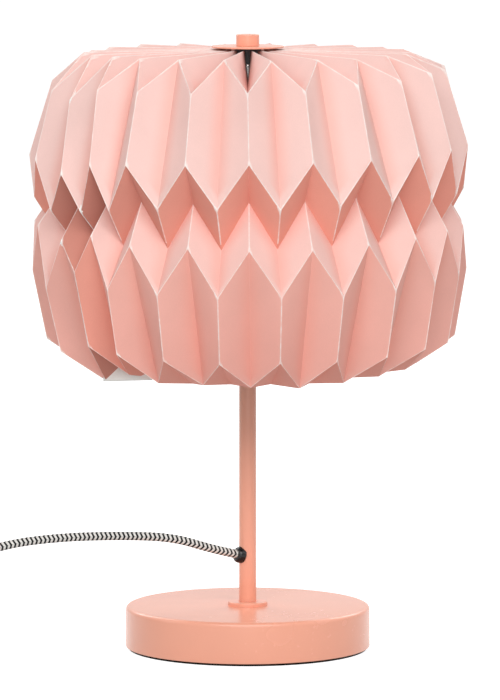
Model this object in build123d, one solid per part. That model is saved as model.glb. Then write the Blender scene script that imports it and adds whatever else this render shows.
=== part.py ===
from build123d import *
import os
from math import cos, dist, hypot, pi, radians, sin, sqrt, tan

os.makedirs("parts", exist_ok=True)

# Pleated paper table lamp. Millimetres, +Z up, origin on the floor under the stem.
# The front is -Y, and the cord leaves the stem towards -X. Angles round the lamp are
# counted in degrees from the front towards +X.

# ---- fits -------------------------------------------------------------------------
touch_gap = 0.3             # between a soft or curved face and what it rests on
fit_gap = 0.05              # radial, between a shaft or screw and its bore
contact_gap = 0.1           # under the lamp's tip, which turns on its contact

# ---- base -------------------------------------------------------------------------
base_diameter = 170.0
base_height = 28.4          # the painted cover, without the pad
base_wall = 1.2
base_edge_radius = 2.5
pad_thickness = 1.6
pad_inset = 2.0             # from the cover's rim
weight_clearance = 2.8      # between the weight and the cover's wall
weight_thickness = 14.0
weight_boss_diameter = 46.0
weight_recess_diameter = 30.0
nut_flats = 17.0
nut_height = 5.0
washer_diameter = 24.0
washer_thickness = 1.5
screw_end = 2.0             # thread that stands out past a nut

# ---- stem -------------------------------------------------------------------------
stem_diameter = 12.0
stem_wall = 1.0
stem_length = 185.0
collar_diameter = 27.5
collar_height = 2.8
pipe_thread_bore = 7.0      # inside the threaded pipes at both ends of the stem
pipe_grip = 15.0            # length of a threaded pipe inside the stem

# ---- cord outlet ------------------------------------------------------------------
cord_diameter = 6.0
outlet_height = 64.0        # where the outlet's axis crosses the stem's
outlet_turn = 28.0          # from -X towards the front
outlet_rise = 14.0          # above level
grommet_diameter = 11.4
grommet_front = 9.6         # from the stem's axis to the grommet's face
grommet_shank_diameter = 8.0
grommet_shank_start = 4.3
outlet_inset = 0.5          # of the cord past the stem's axis
anchor_height = 20.0
core_diameter = 2.2
core_spacing = 2.7
core_bend = 2.1

# ---- lampholder and bulb ----------------------------------------------------------
saddle_thickness = 2.0
saddle_width = 14.0
holder_neck_height = 5.0
holder_neck_diameter = 17.0
holder_diameter = 40.0
holder_wall = 2.0
holder_cap_height = 26.0
holder_body_height = 30.0
holder_spigot = 4.0
insert_height = 9.0
terminal_spacing = 16.0
terminal_head = 4.6
terminal_screw = 2.6
screw_shell_height = 20.0
screw_shell_wall = 0.5
contact_height = 3.0
lamp_cap_diameter = 26.4
lamp_cap_height = 21.0
lamp_tip_height = 6.0
lamp_length = 108.0
globe_diameter = 60.0
globe_wall = 1.0
globe_tuck = 3.0            # of the glass neck inside the metal cap
globe_neck_rise = 8.0       # of the straight neck over the metal cap
lamp_cap_wall = 0.4
glass_foot_diameter = 10.0
glass_foot_height = 16.0
glass_mast_diameter = 2.0
glass_mast_rise = 8.0       # above the globe's centre
filament_diameter = 1.6
filament_offset = 4.5       # from the axis
filament_arm = 0.8

# ---- harp and the shade's seat ----------------------------------------------------
harp_wire = 4.0
harp_foot = 28.0            # from the axis to a leg at its foot
harp_belly = 50.0           # from the axis to a leg beside the bulb
harp_shoulder = 24.0        # half of the level run at the top
harp_height = 166.7         # from the saddle's top to the top run's axis
post_height = 16.0
ferrule_diameter = 7.0
ferrule_height = 24.0
hub_diameter = 24.0
hub_shoulder = 7.0          # from the top run's axis up to the shoulder
spigot_diameter = 16.0
spigot_height = 15.5
seat_plate_diameter = 50.0
seat_plate_thickness = 1.2
hub_washer_diameter = 20.0
hub_washer_thickness = 1.0
bush_diameter = 18.0
stud_diameter = 6.0
stud_reach = 7.0            # of the stud inside the knob
stud_root = 12.0            # of the stud inside the hub
top_disc_diameter = 50.0
top_disc_thickness = 1.2
knob_diameter = 16.0
knob_height = 8.0
knob_edge = 0.8

# ---- paper shade ------------------------------------------------------------------
pleat_count = 22
paper = 0.6
fold_reach = 1.2            # how far a sharp fold's edge stands off the paper's middle
# Fold lines down one pleat, from the hole in the roof to the hem: radius, then drop
# below the top disc. The first line is the valley of the roof, the second its ridge.
valley_line = [(15.0, 25.0), (137.0, 23.4), (151.5, 69.9), (132.5, 97.4), (148.5, 127.9),
               (116.0, 223.4)]
ridge_line = [(17.5, fold_reach + touch_gap), (112.5, 2.9), (148.0, 99.4), (132.5, 128.4),
              (150.0, 157.9), (141.0, 203.9), (104.0, 220.4)]
seam_column = -7            # half pleats from the front to the first seam
tape_thickness = 0.3
tape_band = (0.12, 0.5)     # of the way from the seam to the next fold

# ---- free cord --------------------------------------------------------------------
switch_inlet = (-300.0, 0.0, 9.5)
switch_length = 62.0
switch_width = 24.0
switch_height = 19.0
switch_end_width = 11.0
switch_wall = 1.8
rocker_length = 17.0
rocker_width = 8.6
rocker_tilt = 7.0           # either side of level
rocker_pin_diameter = 2.4
rocker_pin_height = 14.5
switch_screw_diameter = 2.5

coil_x = -415.0
coil_mean_radius = 36.0
coil_pitch = 6.6
coil_turns = 5.5
coil_layer_step = 6.5
tie_width = 8.0
tie_thickness = 0.8
tie_gap = 0.4
tie_corner = 2.5

plug_turn = -15.0           # of the plug from +X, on the floor
plug_width = 35.0
plug_thickness = 13.7
plug_depth = 36.0
relief_length = 22.0
relief_diameters = (11.0, 8.4)
plug_pin_diameter = 4.0
plug_pin_length = 19.0
plug_pin_spacing = 18.6
pin_sleeve_diameter = 3.8
pin_sleeve_length = 10.0


# ---- helpers ----------------------------------------------------------------------
def save(node, *solids):
    """Write one named piece; several solids make one node."""
    shape = solids[0] if len(solids) == 1 else Compound(children=list(solids))
    export_step(shape, "parts/" + node + ".step")


def turned(*points):
    """Solid of revolution about Z, from points of radius and height."""
    outline = Polyline(*[(r, 0, z) for r, z in points], close=True)
    return revolve(make_face(outline), Axis.Z)


def barrel(diameter, low, high):
    return turned((0, low), (diameter / 2, low), (diameter / 2, high), (0, high))


def sleeve(outer, inner, low, high):
    return turned((inner / 2, low), (outer / 2, low), (outer / 2, high), (inner / 2, high))


def wire_along(points, diameter, radii):
    """Round wire along straight runs joined by tangent arcs."""
    path = FilletPolyline(*points, radius=radii)
    start = Plane(origin=path @ 0, z_dir=path % 0)
    return sweep(start * Circle(diameter / 2), path=path)


def easy_radii(points, share=0.45):
    """Arcs that take a share of the shorter run at each corner."""
    spots = [Vector(p) for p in points]
    radii = []
    for before, corner, after in zip(spots, spots[1:], spots[2:]):
        turn = (corner - before).get_angle(after - corner)
        run = min((corner - before).length, (after - corner).length)
        radii.append(share * run / tan(radians(turn / 2)))
    return radii


def closed_solid(faces):
    """Solid from flat faces, each a list of corners in order."""
    return Solid(Shell([Face(Wire.make_polygon(corners)) for corners in faces]))


# ---- heights ----------------------------------------------------------------------
base_top = pad_thickness + base_height
stem_top = base_top + stem_length
saddle_top = stem_top + saddle_thickness
insert_low = saddle_top + holder_cap_height - holder_spigot + holder_wall
insert_top = insert_low + insert_height
lamp_low = insert_top + contact_height + contact_gap
harp_top = saddle_top + harp_height
plate_low = harp_top + hub_shoulder
plate_top = plate_low + seat_plate_thickness
spigot_top = plate_low + spigot_height
washer_top = spigot_top + hub_washer_thickness
disc_low = plate_top + touch_gap + fold_reach + valley_line[0][1]
disc_top = disc_low + top_disc_thickness
stem_bore = stem_diameter - 2 * stem_wall
pipe_diameter = stem_bore - 2 * fit_gap


# ---- base -------------------------------------------------------------------------
def base_pieces():
    rim = base_diameter / 2
    cover = turned(
        (0, base_top), (rim, base_top), (rim, pad_thickness), (rim - base_wall, pad_thickness),
        (rim - base_wall, base_top - base_wall), (0, base_top - base_wall),
    )
    cover = fillet(cover.edges().group_by(Axis.Z)[-1], base_edge_radius)
    inside_edges = cover.edges().filter_by(GeomType.CIRCLE).filter_by(
        lambda edge: abs(edge.center().Z - (base_top - base_wall)) < 0.01)
    cover = fillet(inside_edges, base_edge_radius - base_wall)
    cover -= barrel(pipe_diameter + 2 * fit_gap, 0, base_top + 1)
    save("base_cover", cover)

    roof = base_top - base_wall
    weight_rim = rim - base_wall - weight_clearance
    recess = pad_thickness + screw_end + nut_height + washer_thickness
    weight = turned(
        (0, pad_thickness), (weight_rim, pad_thickness),
        (weight_rim, pad_thickness + weight_thickness),
        (weight_boss_diameter / 2, pad_thickness + weight_thickness),
        (weight_boss_diameter / 2, roof), (0, roof),
    )
    weight -= barrel(weight_recess_diameter, 0, recess)
    weight -= barrel(pipe_diameter + 2 * fit_gap, 0, base_top)
    save("base_weight", weight)

    save("base_pad", barrel(base_diameter - 2 * pad_inset, 0, pad_thickness))
    bore = pipe_diameter + 2 * fit_gap
    save("base_washer", sleeve(washer_diameter, bore, recess - washer_thickness, recess))
    nut_low = recess - washer_thickness - nut_height
    nut = Pos(0, 0, nut_low) * extrude(RegularPolygon(nut_flats / 2, 6, major_radius=False), nut_height)
    nut -= barrel(bore, 0, base_top)
    save("base_nut", nut)
    pipe_low = nut_low - screw_end + touch_gap
    save("lower_pipe", sleeve(pipe_diameter, pipe_thread_bore, pipe_low, base_top + pipe_grip))


# ---- stem and cord outlet ---------------------------------------------------------
outlet_way = Vector(
    -cos(radians(outlet_turn)) * cos(radians(outlet_rise)),
    -sin(radians(outlet_turn)) * cos(radians(outlet_rise)),
    sin(radians(outlet_rise)),
)
outlet_centre = Vector(0, 0, outlet_height)
outlet_plane = Plane(origin=outlet_centre, z_dir=outlet_way)


def stem_pieces():
    collar = sleeve(collar_diameter, stem_diameter + 2 * fit_gap, base_top, base_top + collar_height)
    rim = collar.edges().group_by(Axis.Z)[-1].sort_by(SortBy.LENGTH)[-1:]
    save("stem_collar", fillet(rim, collar_height / 4))

    stem = sleeve(stem_diameter, stem_bore, base_top, stem_top)
    stem -= outlet_plane * barrel(grommet_shank_diameter + 2 * fit_gap, 0, stem_diameter)
    save("stem_tube", stem)
    save("upper_pipe", sleeve(pipe_diameter, pipe_thread_bore, stem_top - pipe_grip,
                              saddle_top + holder_neck_height))


def outlet_pieces():
    bore = cord_diameter + 2 * fit_gap
    rim = grommet_diameter / 2
    dome = turned(
        (bore / 2, grommet_shank_start), (grommet_shank_diameter / 2, grommet_shank_start),
        (grommet_shank_diameter / 2, grommet_shank_start + 0.4), (rim, grommet_shank_start - 2.0),
        (rim, grommet_front - 2.6), (rim - 0.9, grommet_front - 0.9), (rim - 2.0, grommet_front),
        (bore / 2, grommet_front),
    )
    shank = sleeve(grommet_shank_diameter, bore, grommet_shank_start, stem_diameter / 2 + 1)
    post = barrel(stem_diameter + 2 * fit_gap, outlet_height - 20, outlet_height + 20)
    save("cord_grommet", (outlet_plane * dome - post) + outlet_plane * shank)

    save("cord_in_outlet", outlet_plane * barrel(cord_diameter, -outlet_inset, grommet_front))

    # The slug in the stem that holds the cord, open on the side where the wires turn up.
    slug = barrel(stem_bore - 2 * fit_gap, outlet_height - anchor_height / 2,
                  outlet_height + anchor_height / 2)
    slug -= outlet_plane * barrel(bore, -outlet_inset, stem_diameter)
    flat = Pos(0, 0, grommet_shank_start + 5 - touch_gap) * Box(30, 30, 10)
    slug -= outlet_plane * flat
    channel = core_spacing + core_diameter + 2 * touch_gap
    way_up = Pos(stem_bore / 2 - 0.8, 0, anchor_height / 2 - 2.5) * Box(
        stem_bore, channel, anchor_height + 8)
    slug -= Pos(0, 0, outlet_height) * Rot(0, 0, outlet_turn) * way_up
    save("cord_anchor", slug)


def core_wires():
    """Two single wires from the held cord up the stem to the terminals."""
    flat_way = Vector(outlet_way.X, outlet_way.Y, 0).normalized()
    across = Vector(-flat_way.Y, flat_way.X, 0)
    back = stem_bore / 2 - core_diameter / 2 - touch_gap
    wires = []
    beside_screw = (terminal_spacing - terminal_head - core_diameter) / 2 - touch_gap
    for side in (-1, 1):
        shift = across * (side * core_spacing / 2)
        start = outlet_centre + outlet_way * -outlet_inset + shift
        corner = outlet_centre - outlet_way * (back / cos(radians(outlet_rise))) + shift
        low = Vector(corner.X, corner.Y, stem_top - 2 * pipe_grip)
        near = Vector(shift.X, shift.Y, stem_top - pipe_grip - 3)
        mouth = Vector(shift.X, shift.Y, saddle_top + holder_neck_height + 2)
        bend = Vector(0, -side * beside_screw, mouth.Z + 6)
        end = Vector(bend.X, bend.Y, insert_low - touch_gap)
        route = [start, corner, low, near, mouth, bend, end]
        radii = [core_bend] + easy_radii(route)[1:]
        wires.append(wire_along(route, core_diameter, radii))
    save("core_wires", *wires)


# ---- lampholder -------------------------------------------------------------------
def holder_pieces():
    out = holder_diameter / 2
    neck = holder_neck_diameter / 2
    low = saddle_top
    high = low + holder_cap_height
    bore = pipe_diameter / 2 + fit_gap
    cap = turned(
        (bore, low), (neck, low), (neck, low + holder_neck_height), (out - 4, high - 14),
        (out, high - 9), (out, high), (out - holder_wall, high), (out - holder_wall, high - 8),
        (out - 4 - holder_wall, high - 12), (neck - 1, low + holder_neck_height + holder_wall),
        (bore, low + holder_neck_height + holder_wall),
    )
    save("holder_cap", cap)

    top = high + holder_body_height
    inside = out - 2 * holder_wall
    body = turned(
        (out, high), (out, top - 1), (out - 1, top), (inside - 1, top), (inside - 1, top - holder_wall),
        (inside, top - holder_wall), (inside, insert_low), (inside - 2, insert_low),
        (inside - 2, high - holder_spigot), (out - holder_wall - fit_gap, high - holder_spigot),
        (out - holder_wall - fit_gap, high),
    )
    save("holder_body", body)

    insert = barrel(2 * (inside - fit_gap), insert_low, insert_top)
    slot = terminal_spacing / 2
    for side in (-1, 1):
        insert -= Pos(0, side * slot, 0) * barrel(terminal_screw + 2 * fit_gap, insert_low - 1,
                                                  insert_low + 5)
    save("holder_insert", insert)
    screws = []
    for side in (-1, 1):
        shaft = barrel(terminal_screw, insert_low - 1.2, insert_low + 4.8)
        head = barrel(terminal_head, insert_low - 2.8, insert_low - 1.2)
        screws.append(Pos(0, side * slot, 0) * (shaft + head))
    save("terminal_screws", *screws)

    shell_bore = lamp_cap_diameter + 2 * fit_gap
    save("holder_screw_shell", sleeve(shell_bore + 2 * screw_shell_wall, shell_bore, insert_top,
                                      insert_top + screw_shell_height))
    blade = Pos(0, 0, insert_top + 0.4) * Box(16, 5, 0.8)
    nib = barrel(5, insert_top, insert_top + contact_height)
    save("holder_contact", blade + nib)


def bulb_pieces():
    cap_low = lamp_low + lamp_tip_height
    cap_top = cap_low + lamp_cap_height
    cap_floor = cap_low + 1.5 + lamp_cap_wall
    rim = lamp_cap_diameter / 2
    tip = turned((0, lamp_low), (3.2, lamp_low), (4.8, lamp_low + 1.5), (4.8, lamp_low + 2.2),
                 (0, lamp_low + 2.2))
    save("bulb_tip_contact", tip)
    save("bulb_insulator", turned((0, lamp_low + 2.2), (6.5, lamp_low + 2.2), (rim - 1.5, cap_low),
                                  (0, cap_low)))
    cap = turned(
        (0, cap_low), (rim - 1.5, cap_low), (rim, cap_low + 1.5), (rim, cap_top),
        (rim - lamp_cap_wall, cap_top), (rim - lamp_cap_wall, cap_floor), (0, cap_floor),
    )
    save("bulb_screw_cap", cap)

    # The globe is a sphere that runs into a slimmer neck.
    ball = globe_diameter / 2
    top = lamp_low + lamp_length
    centre = top - ball
    neck = rim - lamp_cap_wall - touch_gap
    neck_top = cap_top + globe_neck_rise
    outline = Line((0, top), (0, top - globe_wall)) + CenterArc((0, centre), ball - globe_wall, 90, -130)
    leave = Vector((ball - globe_wall) * cos(radians(-40)), centre + (ball - globe_wall) * sin(radians(-40)))
    inner_neck = (neck - globe_wall, neck_top)
    outline += Line(leave, inner_neck)
    outline += Line(inner_neck, (neck - globe_wall, cap_top - globe_tuck))
    outline += Line((neck - globe_wall, cap_top - globe_tuck), (neck, cap_top - globe_tuck))
    outline += Line((neck, cap_top - globe_tuck), (neck, neck_top))
    skirt = Vector(ball * cos(radians(-40)), centre + ball * sin(radians(-40)))
    outline += Line((neck, neck_top), skirt)
    outline += CenterArc((0, centre), ball, -40, 130)
    save("bulb_globe", revolve(Plane.XZ * make_face(outline), Axis.Z))

    # A glass stem carries four thin filaments.
    foot_top = cap_floor + glass_foot_height
    mast_top = centre + glass_mast_rise
    mast = barrel(glass_mast_diameter, cap_floor, mast_top)
    mast += barrel(glass_foot_diameter, cap_floor, foot_top)
    save("bulb_glass_stem", mast)
    threads = []
    for quarter in range(4):
        thread = Pos(filament_offset, 0, 0) * barrel(filament_diameter, foot_top, mast_top)
        foot_arm = Pos(filament_offset / 2, 0, foot_top + filament_arm / 2) * Box(
            filament_offset, filament_arm, filament_arm)
        threads.append(Rot(0, 0, 90 * quarter + 45) * (thread + foot_arm))
    save("bulb_filaments", *[thread - mast for thread in threads])


# ---- harp and seat ----------------------------------------------------------------
def harp_pieces():
    strap = Pos(0, 0, stem_top + saddle_thickness / 2) * Box(2 * harp_foot, saddle_width, saddle_thickness)
    strap -= barrel(pipe_diameter + 2 * fit_gap, stem_top - 1, saddle_top + 1)
    for side in (-1, 1):
        ear = barrel(saddle_width, stem_top, saddle_top)
        post = barrel(harp_wire, stem_top, saddle_top + post_height)
        strap += Pos(side * harp_foot, 0, 0) * (ear + post)
    save("harp_saddle", strap)

    foot = saddle_top + post_height
    side_points = [(harp_foot, foot), (harp_foot, foot + 30), (harp_belly, foot + 64),
                   (harp_belly, foot + 106), (harp_shoulder, harp_top)]
    right = [(x, 0, z) for x, z in side_points]
    left = [(-x, 0, z) for x, z in reversed(side_points)]
    save("harp_wire", wire_along(right + left, harp_wire, easy_radii(right + left, 0.22)))
    ferrule = sleeve(ferrule_diameter, harp_wire + 2 * fit_gap, saddle_top, saddle_top + ferrule_height)
    save("harp_ferrules", *[Pos(side * harp_foot, 0, 0) * ferrule for side in (-1, 1)])

    hub = barrel(hub_diameter, harp_top - hub_shoulder, plate_low)
    hub += barrel(spigot_diameter, plate_low, spigot_top)
    hub -= Pos(0, 0, harp_top) * Rot(0, 90, 0) * Cylinder(harp_wire / 2 + fit_gap, hub_diameter + 2)
    stud_low = spigot_top - stud_root
    stud_bore = stud_diameter + 2 * fit_gap
    hub -= barrel(stud_bore, stud_low, spigot_top + 1)
    save("harp_hub", hub)
    save("seat_plate", sleeve(seat_plate_diameter, spigot_diameter + 2 * fit_gap, plate_low, plate_top))
    save("hub_washer", sleeve(hub_washer_diameter, stud_bore, spigot_top, washer_top))
    save("hub_bush", sleeve(bush_diameter, stud_bore, washer_top, disc_low))
    save("hub_stud", barrel(stud_diameter, stud_low, disc_top + stud_reach))

    disc = sleeve(top_disc_diameter, stud_bore, disc_low, disc_top)
    save("top_disc", disc)
    knob = barrel(knob_diameter, disc_top, disc_top + knob_height)
    knob = fillet(knob.edges().group_by(Axis.Z)[-1], knob_edge)
    knob -= barrel(stud_bore, disc_top - 1, disc_top + stud_reach + touch_gap)
    save("finial_knob", knob)


# ---- paper shade ------------------------------------------------------------------
half_pleat = 180 / pleat_count
lines = {"valley": valley_line, "ridge": ridge_line}


def radial(angle):
    return Vector(sin(radians(angle)), -cos(radians(angle)), 0)


def panels_of_half_pleat():
    """Corners of the flat triangles between a valley line and the ridge line beside it."""
    triangles = []
    for row in range(len(valley_line) - 1):
        triangles.append([("valley", row), ("valley", row + 1), ("ridge", row + 1)])
        triangles.append([("valley", row), ("ridge", row + 1), ("ridge", row)])
    last = len(valley_line) - 1
    triangles.append([("valley", last), ("ridge", last + 1), ("ridge", last)])
    return triangles


panels = panels_of_half_pleat()


def middle_point(corner, angle):
    radius, drop = lines[corner[0]][corner[1]]
    return radial(angle) * radius + Vector(0, 0, disc_low - drop)


def push_off(corner):
    """Radius and height that bring a fold corner from the paper's middle to its outer face.

    Every panel that meets there should end half the paper's thickness off its middle,
    and least squares gives the nearest to that. A sharp fold stops at fold_reach.
    """
    angles = {"valley": 0, "ridge": half_pleat}
    out = radial(angles[corner[0]])
    rr = rz = zz = r_side = z_side = 0.0
    for panel in panels:
        if corner in panel:
            a, b, c = [middle_point(p, angles[p[0]]) for p in panel]
            normal = (b - a).cross(c - a).normalized()
            n_r, n_z = normal.dot(out), normal.Z
            rr, rz, zz = rr + n_r * n_r, rz + n_r * n_z, zz + n_z * n_z
            r_side, z_side = r_side + n_r * paper / 2, z_side + n_z * paper / 2
    ease = 0.02             # keeps the answer short where a single direction is given
    rr, zz = rr + ease, zz + ease
    spread = rr * zz - rz * rz
    push_r = (r_side * zz - z_side * rz) / spread
    push_z = (rr * z_side - rz * r_side) / spread
    scale = min(1.0, fold_reach / hypot(push_r, push_z))
    return push_r * scale, push_z * scale


pushes = {(line, row): push_off((line, row)) for line in lines for row in range(len(lines[line]))}


def paper_point(corner, column, face):
    """Corner on the outer face (1) or the inner face (-1), columns counted in half pleats."""
    push_r, push_z = pushes[corner]
    out = radial(column * half_pleat)
    return middle_point(corner, column * half_pleat) + out * (face * push_r) + Vector(0, 0, face * push_z)


def paper_sheet(first, last):
    """One folded sheet between two seam columns."""
    faces = []
    for column in range(first, last):
        at = {"valley": column + column % 2, "ridge": column + 1 - column % 2}
        for panel in panels:
            for face in (1, -1):
                faces.append([paper_point(p, at[p[0]], face) for p in panel])
        for start, end in ((("valley", 0), ("ridge", 0)),
                           (("valley", len(valley_line) - 1), ("ridge", len(ridge_line) - 1))):
            a, b = [paper_point(p, at[p[0]], 1) for p in (start, end)]
            c, d = [paper_point(p, at[p[0]], -1) for p in (end, start)]
            faces += [[a, b, c], [a, c, d]]
    for column in (first, last):
        name = "valley" if column % 2 == 0 else "ridge"
        rows = range(len(lines[name]))
        outer = [paper_point((name, row), column, 1) for row in rows]
        inner = [paper_point((name, row), column, -1) for row in rows]
        faces.append(outer + inner[::-1])
    return closed_solid(faces)


def seam_tape(column, row):
    """Flat strip behind a panel beside a seam, from row to row + 1."""
    near = column * half_pleat
    far = (column + 1) * half_pleat
    ridge = [middle_point(("ridge", row + k), near) for k in (0, 1)]
    valley = [middle_point(("valley", row + k), far) for k in (0, 1)]
    corners = []
    for k, along in ((0, 0.06), (1, 0.94)):
        left = ridge[0] + (ridge[1] - ridge[0]) * along
        right = valley[0] + (valley[1] - valley[0]) * along
        corners.append([left + (right - left) * share for share in tape_band])
    (a, b), (d, c) = corners
    inward = (c - a).cross(b - d).normalized()
    if inward.dot(radial(near)) > 0:
        inward = inward * -1
    near_face = [p + inward * (paper / 2 + touch_gap) for p in (a, b, c, d)]
    far_face = [p + inward * tape_thickness for p in near_face]
    faces = [near_face[:3], [near_face[0], near_face[2], near_face[3]],
             far_face[:3], [far_face[0], far_face[2], far_face[3]]]
    for k in range(4):
        m = (k + 1) % 4
        faces += [[near_face[k], near_face[m], far_face[m]], [near_face[k], far_face[m], far_face[k]]]
    return closed_solid(faces)


def shade_pieces():
    second = seam_column + pleat_count
    save("shade_sheet_right", paper_sheet(seam_column, second))
    save("shade_sheet_left", paper_sheet(second, seam_column + 2 * pleat_count))
    tapes = [seam_tape(column, row) for column in (seam_column, second) for row in (1, 4)]
    save("seam_tapes", *tapes)


# ---- free cord --------------------------------------------------------------------
outlet_end = outlet_centre + outlet_way * grommet_front
cord_route = [
    outlet_end,
    outlet_centre + outlet_way * 28,
    (-52, -18, 80.0),
    (-88, -16.5, 80.9),
    (-130, -14, 79.4),
    (-170, -11, 73.8),
    (-206, -9, 60),
    (-232, -7, 40),
    (-254, -4, 20),
    (-277, 0, 9.5),
    switch_inlet,
]
coil_low = tie_thickness + tie_gap + cord_diameter / 2
coil_inner = coil_mean_radius - coil_pitch * coil_turns / 4
coil_start_radius = coil_inner + coil_pitch * coil_turns / 2
coil_centre = Vector(coil_x, -coil_start_radius, 0)
coil_lead_route = [
    (switch_inlet[0] - switch_length, 0, switch_inlet[2]),
    (switch_inlet[0] - switch_length - 14, 0, switch_inlet[2]),
    (coil_x + cord_diameter + 16, 0, coil_low),
    (coil_x + cord_diameter, 0, coil_low),
]
plug_way = Vector(cos(radians(plug_turn)), sin(radians(plug_turn)), 0)
plug_tail = Vector(-345, -100, plug_thickness / 2)
coil_high = coil_low + coil_layer_step
plug_lead_route = [
    (coil_x + cord_diameter, -2 * coil_start_radius, coil_high),
    (coil_x + cord_diameter + 15, -2 * coil_start_radius, coil_high),
    (-376, -2 * coil_start_radius - 2.4, 8.4),
    plug_tail - plug_way * 16,
    plug_tail,
]


def coil_knot(turn):
    """Point and direction of the coil after a number of turns: in, up, and out again."""
    half_way = coil_turns / 2
    angle = 2 * pi * turn + pi / 2
    radius = coil_inner + coil_pitch * abs(turn - half_way)
    climb = min(max((turn - half_way + 0.25) / 0.5, 0), 1)
    height = coil_low + coil_layer_step * (1 - cos(pi * climb)) / 2
    at_rest = turn in (0, half_way, coil_turns)
    slope = 0 if at_rest else coil_pitch * (1 if turn > half_way else -1)
    rise = coil_layer_step * pi * sin(pi * climb)
    out = Vector(cos(angle), sin(angle), 0)
    along = Vector(-sin(angle), cos(angle), 0)
    way = out * slope + along * (2 * pi * radius) + Vector(0, 0, rise)
    return coil_centre + out * radius + Vector(0, 0, height), way.normalized()


def two_arcs(start, start_way, end, end_way):
    """Two tangent arcs that leave one knot and reach the next in its direction."""
    span = end - start
    both = start_way + end_way
    a = both.dot(both) - 4
    b = -2 * span.dot(both)
    reach = (-b - sqrt(b * b - 4 * a * span.dot(span))) / (2 * a)
    first = start + start_way * reach
    second = end - end_way * reach
    middle = (first + second) / 2
    return [TangentArc(start, middle, tangent=start_way), TangentArc(middle, end, tangent=second - first)]


def coil_path():
    knots = [coil_knot(quarter / 4) for quarter in range(round(4 * coil_turns) + 1)]
    first, last = knots[0], knots[-1]
    edges = [Line(first[0] - first[1] * cord_diameter, first[0])]
    for (start, start_way), (end, end_way) in zip(knots, knots[1:]):
        edges += two_arcs(start, start_way, end, end_way)
    edges.append(Line(last[0], last[0] + last[1] * cord_diameter))
    return Wire([edge.edge() for edge in edges])


def least_gap(path, diameter, spots=900):
    """Smallest space between turns, measured on points along the path."""
    points = [tuple(path @ (k / spots)) for k in range(spots + 1)]
    step = path.length / spots
    apart = int(2.5 * diameter / step)
    nearest = min(dist(points[i], points[j]) for i in range(spots) for j in range(i + apart, spots + 1))
    return nearest - diameter


def cord_pieces():
    lengths = {}
    for node, route in (("mains_cord", cord_route), ("coil_lead", coil_lead_route),
                        ("plug_lead", plug_lead_route)):
        radii = easy_radii(route)
        tube = wire_along(route, cord_diameter, radii)
        path = FilletPolyline(*route, radius=radii)
        ratio = tube.volume / (path.length * pi * cord_diameter ** 2 / 4)
        print(node, "radii", [round(r) for r in radii], "length", round(path.length, 1),
              "volume share", round(ratio, 4))
        lengths[node] = path.length
        save(node, tube)

    path = coil_path()
    start = Plane(origin=path @ 0, z_dir=path % 0)
    coil = sweep(start * Circle(cord_diameter / 2), path=path)
    print("cord_coil length", round(path.length, 1), "least gap", round(least_gap(path, cord_diameter), 2),
          "volume share", round(coil.volume / (path.length * pi * cord_diameter ** 2 / 4), 4))
    save("cord_coil", coil)
    print("whole cord", round(sum(lengths.values()) + path.length + switch_length, 1))

    # The tie goes round all the turns at the side away from the lamp.
    inner = coil_start_radius - 2.5 * coil_pitch - cord_diameter / 2 - tie_gap
    outer = coil_start_radius - 0.25 * coil_pitch + cord_diameter / 2 + tie_gap
    tall = coil_layer_step + cord_diameter + 2 * tie_gap
    hole = Rectangle(outer - inner, tall)
    band = Rectangle(outer - inner + 2 * tie_thickness, tall + 2 * tie_thickness)
    ring = fillet(band.vertices(), tie_corner + tie_thickness) - fillet(hole.vertices(), tie_corner)
    middle = Vector(coil_x - (inner + outer) / 2, coil_centre.Y, coil_low + coil_layer_step / 2)
    plane = Plane(origin=middle, x_dir=(1, 0, 0), z_dir=(0, -1, 0))
    save("coil_tie", extrude(plane * ring, tie_width / 2, both=True))


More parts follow.
